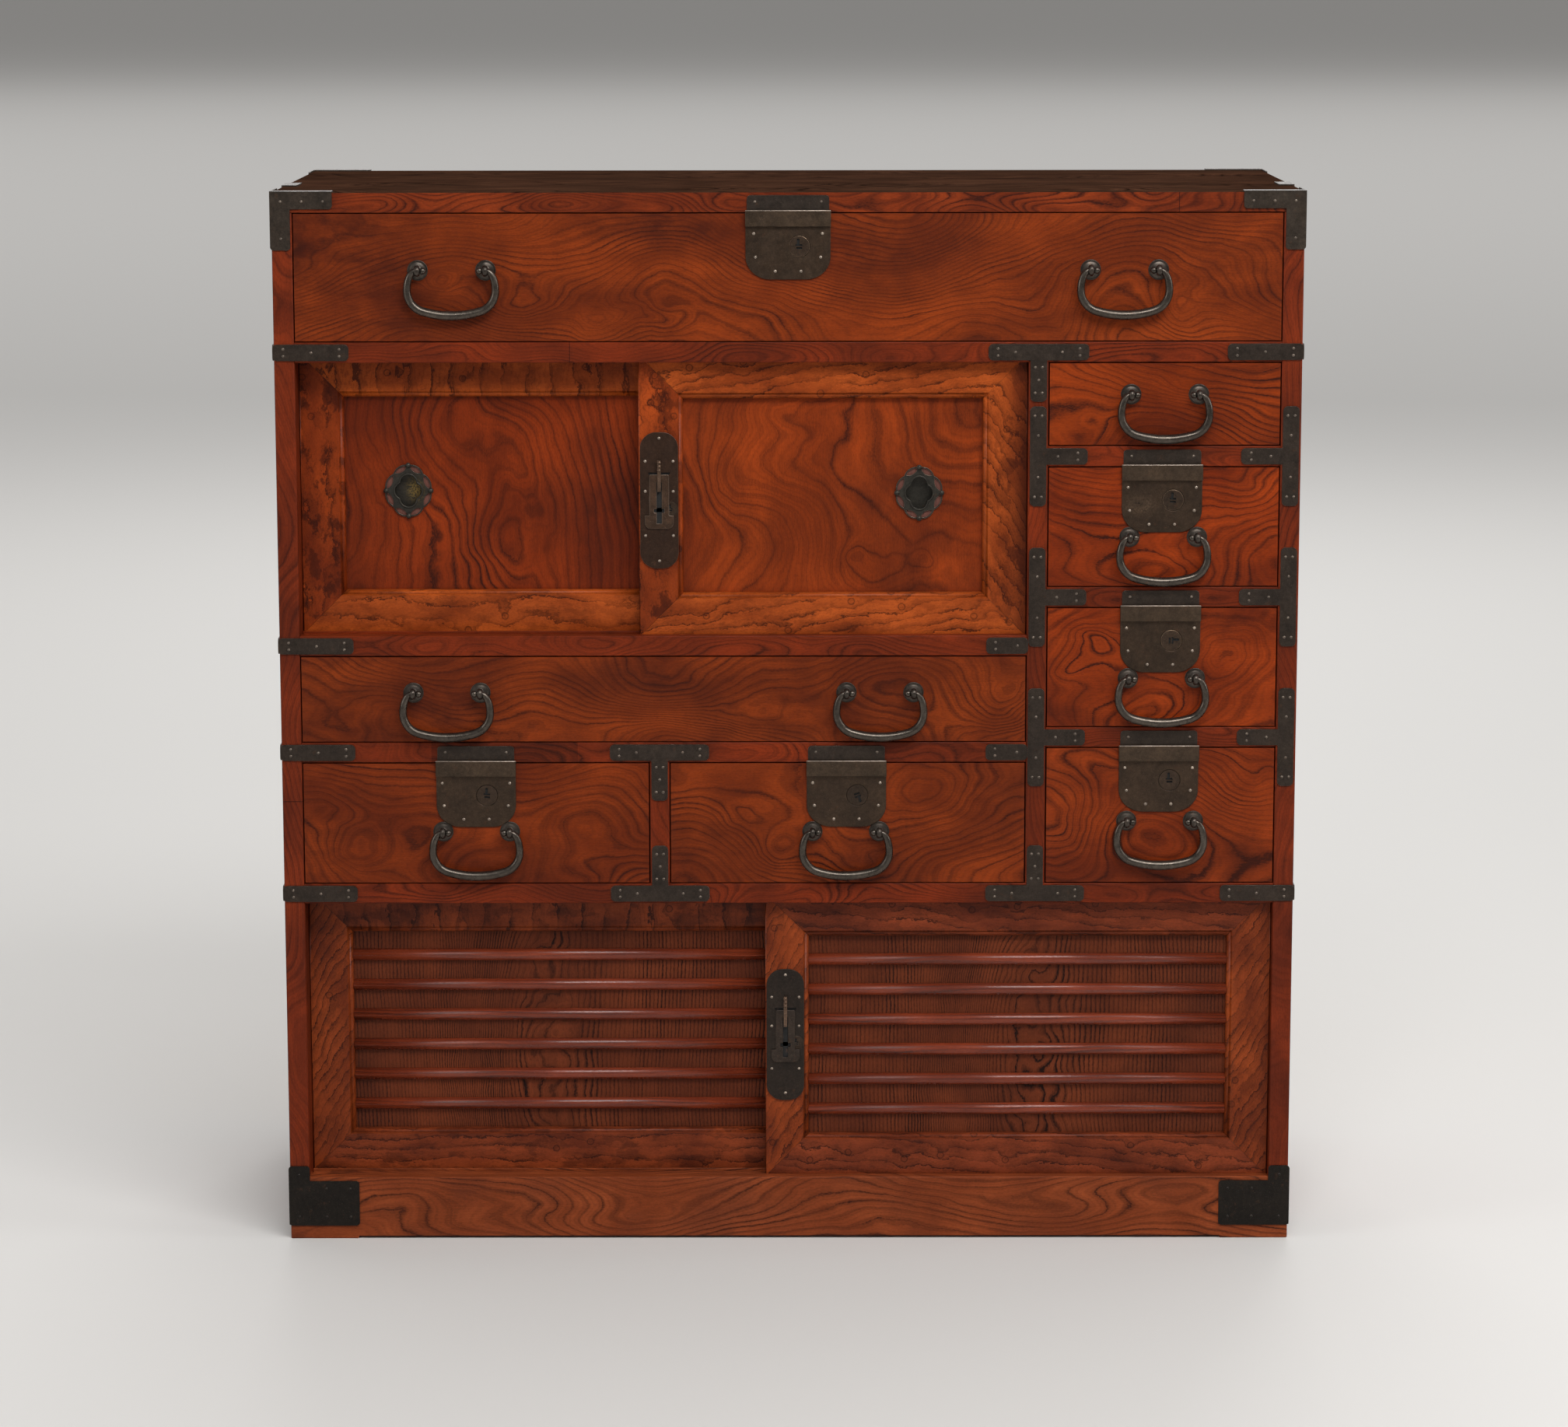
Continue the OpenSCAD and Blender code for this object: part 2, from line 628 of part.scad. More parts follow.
// Swinging bail: two pins with ball ends, hooked shoulders and a sagging grip, the bar a little
// heavier from one length to the next
module bail(h) at_front() color(iron) translate([h[0][0], -pivot_out, h[0][1]]) {
  hook_x = bail_half - hook_r;
  side_r = bail_r + 0.2;
  heavy_r = (bail_r + grip_r) / 2;
  pin_in = post_span / 2 - eye_w / 2 - 1.6;
  pin_out = post_span / 2 + eye_w / 2 + 0.3;
  for (s = [-1, 1]) mirror([s > 0 ? 0 : 1, 0, 0]) {
    translate([pin_in - 1, 0, 0]) rotate([0, 90, 0]) cylinder(r = pin_r, h = pin_out + 1.5 - pin_in);
    difference() {
      translate([pin_in - 1.5, 0, 0]) rotate([0, 90, 0]) sphere(bail_r + 0.1, $fn = 48);
      translate([pin_in - 21.3 - bail_r, -10, -10]) cube(20);
    }
    difference() {
      bar_arc(hook_x, -hook_r, hook_r, 0, 90, bail_r);
      translate([0, -10, -10]) cube([pin_out, 20, 20]);
    }
    translate([bail_half, 0, corner_z - 1]) cylinder(r = side_r, h = 1.8 - hook_r - corner_z, $fn = 48);
    bar_arc(bail_half - corner_r, corner_z, corner_r, -corner_sweep, corner_sweep, heavy_r);
  }
  bar_arc(0, sag_r - bail_drop, sag_r, -90.5 - sag_angle, 2 * sag_angle + 1, grip_r);
}

module top_handle_left() bail([TOP_HANDLES[0]]);
module top_handle_right() bail([TOP_HANDLES[1]]);
module wide_handle_left() bail([WIDE_HANDLES[0]]);
module wide_handle_right() bail([WIDE_HANDLES[1]]);
module left_handle() bail(LEFT_HANDLE);
module right_handle() bail(RIGHT_HANDLE);
module column_handle_1() bail(HANDLE_1);
module column_handle_2() bail(HANDLE_2);
module column_handle_3() bail(HANDLE_3);
module column_handle_4() bail(HANDLE_4);

// ---- lock works --------------------------------------------------------------------

ring_out = 8.4;
ring_in = 5.6;
ring_d = 3.9;
thrower_r = 1.2;

// Keyhole of a disc: an upright stroke on a bar, over a second bar
module keyhole() {
  translate([-1.9, 0.6]) square([2.2, 6]);
  translate([-3, 0.4]) square([5.7, 1.5]);
  translate([-2.5, -2.2]) square([5, 1.6]);
}

// Key disc, turned in the lock plate by the key; turn is how its keyhole stands at rest
module key_disc(l, turn) at_front() color(bright_iron)
  translate([l[0] + disc_dx, 0, l[1] - disc_dz]) {
    difference() {
      translate([0, -plate_t + 0.2, 0]) rotate([-90, 0, 0]) cylinder(r = disc_r, h = plate_t - 0.2);
      rotate([0, turn, 0]) translate([0, 1, 0]) on_front(5) keyhole();
    }
    difference() {
      rotate([-90, 0, 0]) cylinder(r = ring_out, h = ring_d);
      translate([0, 0.01, 0]) rotate([-90, 0, 0]) cylinder(r = ring_in, h = ring_d);
    }
    translate([-bolt_rise, ring_d - 0.1, 0]) rotate([-90, 0, 0])
      cylinder(r = thrower_r, h = bolt_y + bolt_t - ring_d + 0.4);
  }

module top_key_disc() key_disc(TOP_LOCK, 0);
module left_key_disc() key_disc(LEFT_LOCK, 5);
module right_key_disc() key_disc(RIGHT_LOCK, 160);
module column_key_disc_2() key_disc(LOCK_2, 3);
module column_key_disc_3() key_disc(LOCK_3, 90);
module column_key_disc_4() key_disc(LOCK_4, 0);

// Bolt plate with a window for the thrower; the disc lifts it into the rail above
module lock_bolt(l) at_front() color(bright_iron) translate([l[0], bolt_y, l[1]]) difference() {
  translate([-bolt_half, 0, -36]) cube([2 * bolt_half, bolt_t, 34]);
  x0 = disc_dx - bolt_rise - thrower_r - 0.5;
  translate([x0, -1, -disc_dz - thrower_r - 0.5])
    cube([bolt_rise + 2 * thrower_r + 1, bolt_t + 2, 2 * thrower_r + 2.5]);
}

module top_lock_bolt() lock_bolt(TOP_LOCK);
module left_lock_bolt() lock_bolt(LEFT_LOCK);
module right_lock_bolt() lock_bolt(RIGHT_LOCK);
module column_lock_bolt_2() lock_bolt(LOCK_2);
module column_lock_bolt_3() lock_bolt(LOCK_3);
module column_lock_bolt_4() lock_bolt(LOCK_4);

// ---- sliding doors -----------------------------------------------------------------

door_play = 0.5;
lift = 6;
seat = 2;
mitre_gap = 0.1;
panel_in = 4;
rear_set = door_set + door_t + door_gap;
edge_w = member_w + bead_w;

function door_w(o) = (o[1] - o[0] + door_lap) / 2 - door_play;
function door_h(o) = o[3] - o[2] + lift + seat;

// A mitred frame member of length l along +X, its outer edge on z = 0
module member(l) difference() {
  intersection() {
    union() {
      translate([0, 0, 0]) cube([l, door_t, member_w]);
      translate([0, bead_w / 2 + 0.4, 0]) cube([l, door_t - bead_w / 2 - 0.4, edge_w]);
      translate([0, bead_w / 2 + 0.4, edge_w - bead_w / 2]) rotate([0, 90, 0])
        cylinder(r = bead_w / 2, h = l);
    }
    translate([0, door_t, 0]) on_front(door_t)
      polygon([[mitre_gap, 0], [l - mitre_gap, 0], [l - edge_w - mitre_gap, edge_w],
               [edge_w + mitre_gap, edge_w]]);
  }
  translate([0, panel_set - 0.1, edge_w - panel_in - 0.1])
    cube([l, panel_t + 0.2, panel_in + 1]);
}

// Four members round a panel, in the door's own frame; w and h are the door's size
module door_frame(w, h) {
  member(w);
  translate([w, 0, h]) rotate([0, 180, 0]) member(w);
  translate([0, 0, h]) rotate([0, 90, 0]) member(h);
  translate([w, 0, 0]) rotate([0, -90, 0]) member(h);
}

module panel(w, h) {
  e = edge_w - panel_in;
  board([e, panel_set, e], [w - e, panel_set + panel_t, h - e]);
}

// Half round slats, evenly spaced between the top and bottom members
module slats(w, h) {
  clear = h - 2 * edge_w;
  pitch = (clear + (clear - slat_n * slat_h) / (slat_n + 1)) / (slat_n + 1);
  gap = (clear - slat_n * slat_h) / (slat_n + 1);
  r = slat_h / 2;
  for (i = [0 : slat_n - 1])
    translate([edge_w + 0.2, 0, edge_w + gap + i * (slat_h + gap)]) {
      l = w - 2 * edge_w - 0.4;
      translate([0, r + 0.5, r]) rotate([0, 90, 0]) cylinder(r = r, h = l);
      translate([0, r + 0.5, 0]) cube([l, panel_set - r - 0.6, slat_h]);
    }
}

pull_hole_r = 15.4;
pull_in = 92.5;
pull_z = 2;

// One door of a pair; s is -1 for the rear left door and 1 for the front right one
module place_door(o, s)
  translate([s < 0 ? o[0] + door_play : o[1] - door_w(o) - door_play,
             s < 0 ? rear_set : door_set, o[2] - seat]) children();

module panelled_door(o, s) at_front() color(door_wood) place_door(o, s) {
  w = door_w(o);
  h = door_h(o);
  door_frame(w, h);
  difference() {
    panel(w, h);
    translate([s < 0 ? pull_in : w - pull_in, 0, h / 2 + pull_z]) rotate([-90, 0, 0])
      cylinder(r = pull_hole_r, h = door_t);
  }
}

module slatted_door(o, s) at_front() place_door(o, s) {
  w = door_w(o);
  h = door_h(o);
  color(door_wood) door_frame(w, h);
  color(keyaki_dark) panel(w, h);
  color(slat_wood) slats(w, h);
}

module upper_rear_door() panelled_door(UPPER, -1);
module upper_front_door() panelled_door(UPPER, 1);
module lower_rear_door() slatted_door(LOWER, -1);
module lower_front_door() slatted_door(LOWER, 1);

// ---- door irons --------------------------------------------------------------------

rim_t = 1.6;
cup_d = 9;
// Where the rim's wires meet, from the top boss round to the side boss
rim_at = [[0, 22], [12.6, 14.4], [19.3, 0]];

// The four lobes of the finger cup, g larger all round
module quatrefoil(g) {
  for (z = [-7, 7]) translate([0, z]) circle(7 + g);
  for (x = [-4.8, 4.8]) translate([x, 0]) circle(7 + g);
}

// A lens shape of half length l along x and half width t
module lens(l, t) {
  r = (l * l + t * t) / (2 * t);
  intersection() {
    translate([0, r - t]) circle(r);
    translate([0, t - r]) circle(r);
  }
}

// Eight lenses round the rim, each g shorter at both ends and t wide on each side
module rim_lenses(g, t)
  for (mx = [0, 1], mz = [0, 1], i = [0, 1]) {
    a = rim_at[i];
    b = rim_at[i + 1];
    mirror([mx, 0]) mirror([0, mz]) translate((a + b) / 2)
      rotate(atan2(b[1] - a[1], b[0] - a[0])) lens(norm(b - a) / 2 - g, t);
  }

// Recessed finger pull: openwork rim of eight lenses, four bosses and a lobed cup
module pull(o, s) place_door(o, s) {
  w = door_w(o);
  core = [rim_at[0], rim_at[1], rim_at[2]];
  translate([s < 0 ? pull_in : w - pull_in, panel_set, door_h(o) / 2 + pull_z]) {
    difference() {
      union() {
        on_front(rim_t) {
          rim_lenses(-0.5, 3.3);
          for (sx = [-1, 1], sz = [-1, 1])
            polygon([[0, 0], [0, sz * core[0][1]], [sx * core[1][0], sz * core[1][1]],
                     [sx * core[2][0], 0]]);
        }
        translate([0, cup_d - rim_t, 0]) on_front(cup_d) quatrefoil(1);
      }
      translate([0, cup_d - rim_t - 1, 0]) on_front(cup_d) quatrefoil(0);
      translate([0, 1, 0]) on_front(4) rim_lenses(1.7, 2.2);
    }
    for (p = [[0, 22], [0, -22], [19.3, 0], [-19.3, 0]])
      translate([p[0], 0, p[1]]) rotate([90, 0, 0]) {
        cylinder(r = 2.3, h = 2.4);
        translate([0, 0, 2.4]) cylinder(r1 = 2.3, r2 = 1.2, h = 0.9);
      }
  }
}

latch_w = 33;
latch_h = 118;
latch_x = 17.5;
latch_corner = 14;
latch_disc_r = 6.5;
latch_disc_at = [9.6, -7.5];
hasp_top = 22.5;
hasp_w = 17;
hasp_foot_w = 25;
hasp_h = 47;
hasp_t = 1.2;
hasp_slot_w = 4.4;
staple_w = 3;

function latch_z(o) = door_h(o) / 2 - (o == UPPER ? 3.7 : -0.8);
module place_latch(o) place_door(o, 1) translate([latch_x, 0, latch_z(o)]) children();

// Round ended plate on the front door's leading stile, with its guide staple and nails
module latch_plate(o) place_latch(o) {
  difference() {
    on_front(plate_t) translate([-latch_w / 2, -latch_h / 2]) rounded(latch_w, latch_h, latch_corner);
    translate([-9.3, 1, hasp_top]) on_front(4) square([18.6, 1.8]);
    translate([latch_disc_at[0], 1, latch_disc_at[1]]) rotate([90, 0, 0])
      cylinder(r = latch_disc_r + 0.08, h = 5);
  }
  staple_y = plate_t + hasp_t + 0.9;
  translate([-staple_w / 2, -staple_y - 1.2, 8]) cube([staple_w, 1.2, 27]);
  for (z = [8, 32]) translate([-staple_w / 2, -staple_y - 0.1, z])
    cube([staple_w, staple_y - plate_t + 0.2, 3]);
  for (p = [[0, 54], [-12, 34], [12, 34], [-12, 8], [12, 8], [-12, -30.5], [12, -30.5], [0, -52.5]])
    nail(p[0], p[1], -plate_t);
}

// Slotted hasp that slides up and down behind its staple
module hasp(o) at_front() color(bright_iron) place_latch(o)
  translate([0, -plate_t - 0.3, 0]) on_front(hasp_t) difference() {
    union() {
      translate([-hasp_w / 2, hasp_top - hasp_h + 6]) rounded(hasp_w, hasp_h - 6, 1.5);
      translate([-hasp_foot_w / 2, hasp_top - hasp_h + 6]) square([hasp_foot_w, 5.6]);
      translate([-hasp_foot_w / 2, hasp_top - hasp_h]) rounded(hasp_foot_w, 11.6, 5.5);
    }
    translate([-hasp_slot_w / 2, hasp_top - hasp_h + 4.5]) square([hasp_slot_w, hasp_h - 11]);
    translate([-4.5, hasp_top - hasp_h + 14]) square([9, 3.2]);
  }

// Small key disc half hidden behind the hasp
module latch_disc(o) at_front() color(bright_iron) place_latch(o)
  translate([latch_disc_at[0], 0, latch_disc_at[1]]) difference() {
    translate([0, -plate_t + 0.1, 0]) rotate([-90, 0, 0]) cylinder(r = latch_disc_r, h = plate_t - 0.1);
    translate([0, 1, 0]) on_front(5) scale(0.7) keyhole();
  }

module upper_rear_pull() at_front() color(iron) pull(UPPER, -1);
module upper_front_door_irons() at_front() color(iron) {
  pull(UPPER, 1);
  latch_plate(UPPER);
}
module lower_front_door_irons() at_front() color(iron) latch_plate(LOWER);
module upper_hasp() hasp(UPPER);
module lower_hasp() hasp(LOWER);
module upper_latch_disc() latch_disc(UPPER);
module lower_latch_disc() latch_disc(LOWER);

side_left();
side_right();
top_board();
base_board();
back_boards();
front_rails();
shelf_boards();
dividers();
corner_irons();
joint_irons();
case_nails();
top_drawer();
wide_drawer();
left_drawer();
right_drawer();
column_drawer_1();
column_drawer_2();
column_drawer_3();
column_drawer_4();
top_drawer_irons();
wide_drawer_irons();
left_drawer_irons();
right_drawer_irons();
column_drawer_1_irons();
column_drawer_2_irons();
column_drawer_3_irons();
column_drawer_4_irons();
top_handle_left();
top_handle_right();
wide_handle_left();
wide_handle_right();
left_handle();
right_handle();
column_handle_1();
column_handle_2();
column_handle_3();
column_handle_4();
top_key_disc();
left_key_disc();
right_key_disc();
column_key_disc_2();
column_key_disc_3();
column_key_disc_4();
top_lock_bolt();
left_lock_bolt();
right_lock_bolt();
column_lock_bolt_2();
column_lock_bolt_3();
column_lock_bolt_4();
upper_rear_door();
upper_front_door();
lower_rear_door();
lower_front_door();
upper_rear_pull();
upper_front_door_irons();
lower_front_door_irons();
upper_hasp();
lower_hasp();
upper_latch_disc();
lower_latch_disc();
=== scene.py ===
import math

import bmesh
import bpy
from mathutils import Matrix, Vector


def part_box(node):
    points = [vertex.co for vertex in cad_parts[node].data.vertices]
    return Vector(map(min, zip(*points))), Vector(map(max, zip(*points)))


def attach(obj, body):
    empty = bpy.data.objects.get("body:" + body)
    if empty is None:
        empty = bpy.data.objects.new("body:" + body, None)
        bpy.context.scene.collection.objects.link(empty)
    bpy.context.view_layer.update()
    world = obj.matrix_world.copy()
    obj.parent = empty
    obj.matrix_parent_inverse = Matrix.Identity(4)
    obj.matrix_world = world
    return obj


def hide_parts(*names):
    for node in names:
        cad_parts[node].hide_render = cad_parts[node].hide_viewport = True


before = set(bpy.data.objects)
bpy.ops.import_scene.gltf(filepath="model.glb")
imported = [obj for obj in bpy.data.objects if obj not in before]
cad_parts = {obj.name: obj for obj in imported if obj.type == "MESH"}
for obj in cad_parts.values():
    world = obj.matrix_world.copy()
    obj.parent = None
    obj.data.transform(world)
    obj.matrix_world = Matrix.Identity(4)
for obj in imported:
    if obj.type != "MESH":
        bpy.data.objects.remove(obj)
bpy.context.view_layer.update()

scene = bpy.context.scene


# ---- the viewing place -------------------------------------------------------------
# A chest stands on a pale floor and is looked at from in front, a little above its top, through
# a long lens. One broad soft light hangs before it, with a weaker one at each side and behind,
# and one over the floor in the distance.
def srgb(r, g, b):
    """A colour as it is seen, 0 to 255, turned into the linear values of a shader."""
    parts = [c / 255 for c in (r, g, b)]
    return tuple(c / 12.92 if c <= 0.04045 else ((c + 0.055) / 1.055) ** 2.4 for c in parts) + (1.0,)


pitch_down, turn, roll = 0.1682, 0.0009, -0.0012
level = Vector((-math.sin(turn), math.cos(turn), 0))
right = Vector((math.cos(turn), math.sin(turn), 0))
ahead = math.cos(pitch_down) * level - Vector((0, 0, math.sin(pitch_down)))
above = math.sin(pitch_down) * level + Vector((0, 0, math.cos(pitch_down)))
right, above = (math.cos(roll) * right + math.sin(roll) * above,
                math.cos(roll) * above - math.sin(roll) * right)
eye = bpy.data.objects.new("eye", bpy.data.cameras.new("eye"))
scene.collection.objects.link(eye)
eye.matrix_world = Matrix.Translation((-0.0004, -4.0747, 1.1314)) @ Matrix(
    (right, above, -ahead)).transposed().to_4x4()
eye.data.lens = 104.6
eye.data.sensor_width = 36
eye.data.clip_end = 1000
scene.camera = eye
scene.view_settings.view_transform = "Standard"

floor_paint = bpy.data.materials.new("pale_floor")
floor_paint.use_nodes = True
floor_shader = floor_paint.node_tree.nodes["Principled BSDF"]
floor_shader.inputs["Base Color"].default_value = srgb(208, 206, 203)
floor_shader.inputs["Roughness"].default_value = 0.75
floor_mesh = bmesh.new()
bmesh.ops.create_grid(floor_mesh, x_segments=2, y_segments=2, size=300)
floor_data = bpy.data.meshes.new("floor")
floor_mesh.to_mesh(floor_data)
floor_mesh.free()
floor_data.materials.append(floor_paint)
floor = bpy.data.objects.new("floor", floor_data)
scene.collection.objects.link(floor)

world = bpy.data.worlds.new("studio")
scene.world = world
world.use_nodes = True
world.node_tree.nodes["Background"].inputs["Color"].default_value = (1.0, 0.99, 0.98, 1)
world.node_tree.nodes["Background"].inputs["Strength"].default_value = 0.34


def softbox(name, place, aim, width, height, power):
    """A soft rectangular lamp at a place, turned to aim, with its size in metres."""
    lamp = bpy.data.lights.new(name, "AREA")
    lamp.shape = "RECTANGLE"
    lamp.size, lamp.size_y, lamp.energy = width, height, power
    lamp_object = bpy.data.objects.new(name, lamp)
    scene.collection.objects.link(lamp_object)
    lamp_object.location = place
    lamp_object.rotation_euler = (Vector(aim) - Vector(place)).to_track_quat("-Z", "Y").to_euler()


softbox("front_light", (0.75, -2.3, 2.9), (0, -0.1, 0.5), 2.6, 1.0, 91)
softbox("left_light", (-3.2, -1.6, 1.6), (-0.2, 0, 0.5), 1.4, 1.8, 20)
softbox("right_light", (3.2, -0.4, 1.8), (0.2, 0, 0.5), 1.4, 1.8, 30)
softbox("back_light", (0.3, 4.6, 3.8), (0, 0, 0.5), 3.2, 2.0, 112)
softbox("floor_light", (0, 18, 9), (0, 18.01, 0), 36, 26, 1700)


# ---- the case ----------------------------------------------------------------------
# Two side boards, a top and a base board, with seven rails and two dividers across the front,
# of keyaki 17 to 22 mm thick, joined end to face and finished in dark wiped lacquer.
front_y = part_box("side_left")[0].y
to_case = Matrix.Scale(1000, 4) @ Matrix.Translation((0, -front_y, 0))


class Finish:
    """A new material, with short calls for the nodes that colour and roughen it."""

    def __init__(self, name, rough, metallic=0.0, coat=0.0, shine=0.5):
        self.material = bpy.data.materials.new(name)
        self.material.use_nodes = True
        self.tree = self.material.node_tree
        self.shader = self.tree.nodes["Principled BSDF"]
        for socket, value in (("Roughness", rough), ("Metallic", metallic),
                              ("Specular IOR Level", shine), ("Coat Weight", coat),
                              ("Coat Roughness", 0.22)):
            self.shader.inputs[socket].default_value = value

    def fill(self, sockets, values):
        """Links or sets the sockets, and leaves those as they are whose value is None."""
        for socket, value in zip(sockets, values):
            if isinstance(value, bpy.types.NodeSocket):
                self.tree.links.new(value, socket)
            elif value is not None:
                socket.default_value = value

    def put(self, kind, *values, out=0, **settings):
        """Adds a node and fills its inputs in their order."""
        node = self.tree.nodes.new("ShaderNode" + kind)
        for key, value in settings.items():
            setattr(node, key, value)
        self.fill(node.inputs, values)
        return node.outputs[out]

    def times(self, a, b, plus=None, clamp=False):
        """a times b, with a third value added where one is given."""
        if plus is None:
            return self.put("Math", a, b, operation="MULTIPLY")
        return self.put("Math", a, b, plus, operation="MULTIPLY_ADD", use_clamp=clamp)

    def mix(self, amount, a, b, blend="MIX"):
        """One colour laid over another by amount."""
        node = self.tree.nodes.new("ShaderNodeMix")
        node.data_type = "RGBA"
        node.blend_type = blend
        self.fill((node.inputs[0], node.inputs[6], node.inputs[7]), (amount, a, b))
        return node.outputs[2]

    def ramp(self, value, *stops):
        """A value turned into greys by its stops, each a place and a grey."""
        node = self.tree.nodes.new("ShaderNodeValToRGB")
        self.tree.links.new(value, node.inputs[0])
        marks = node.color_ramp.elements
        while len(marks) < len(stops):
            marks.new(0.5)
        for mark, (at, grey) in zip(marks, stops):
            mark.position = at
            mark.color = (grey, grey, grey, 1)
        return node.outputs[0]

    def place(self):
        """The place on the part, in case millimetres."""
        return self.put("Mapping", self.put("TexCoord", out="Object"), (0, -1000 * front_y, 0),
                        None, (1000, 1000, 1000))

    def board(self, axes, seed, grain):
        """The place on a board's face: across it, up it, and the two as one vector in a layer
        of noise of its own. With it comes noise(), in lumps of a size along the grain and one
        across it."""
        place = self.place()
        across, up = (self.put("VectorMath", place, axis, out="Value", operation="DOT_PRODUCT")
                      for axis in axes)
        face = self.put("CombineXYZ", across, up, seed * 37.0)

        def noise(along, beside, detail=1.0, rough=0.5):
            size = (1 / along, 1 / beside, 1) if grain == "x" else (1 / beside, 1 / along, 1)
            stretched = self.put("VectorMath", face, size, operation="MULTIPLY")
            return self.put("TexNoise", stretched, None, 1.0, detail, rough)

        return across, up, face, noise

    def fading(self, place, middle, size, tilt=0, flat=True):
        """A soft spot, 1 in its middle, on a board's face or, when not flat, in space."""
        local = self.put("Mapping", place, middle, (0, 0, math.radians(tilt)), size,
                         vector_type="TEXTURE")
        if flat:
            local = self.put("VectorMath", local, (1, 1, 0), operation="MULTIPLY")
        away = self.put("VectorMath", local, local, out="Value", operation="DOT_PRODUCT")
        return self.put("Math", math.exp(-1), away, operation="POWER")

    def shaded(self, colour, tone):
        """A colour made lighter or darker by a grey tone round 1."""
        return self.mix(1.0, colour, self.put("CombineXYZ", tone, tone, tone), "MULTIPLY")

    def finished(self, colour, relief, strength, rough=None):
        """Links the colour, the roughness and the relief to the shader."""
        bump = self.tree.nodes.new("ShaderNodeBump")
        bump.inputs["Strength"].default_value = strength
        bump.inputs["Distance"].default_value = 0.0003
        self.tree.links.new(relief, bump.inputs["Height"])
        sockets = [self.shader.inputs[name] for name in ("Base Color", "Normal", "Roughness")]
        self.fill(sockets, (colour, bump.outputs[0], rough))
        return self.material


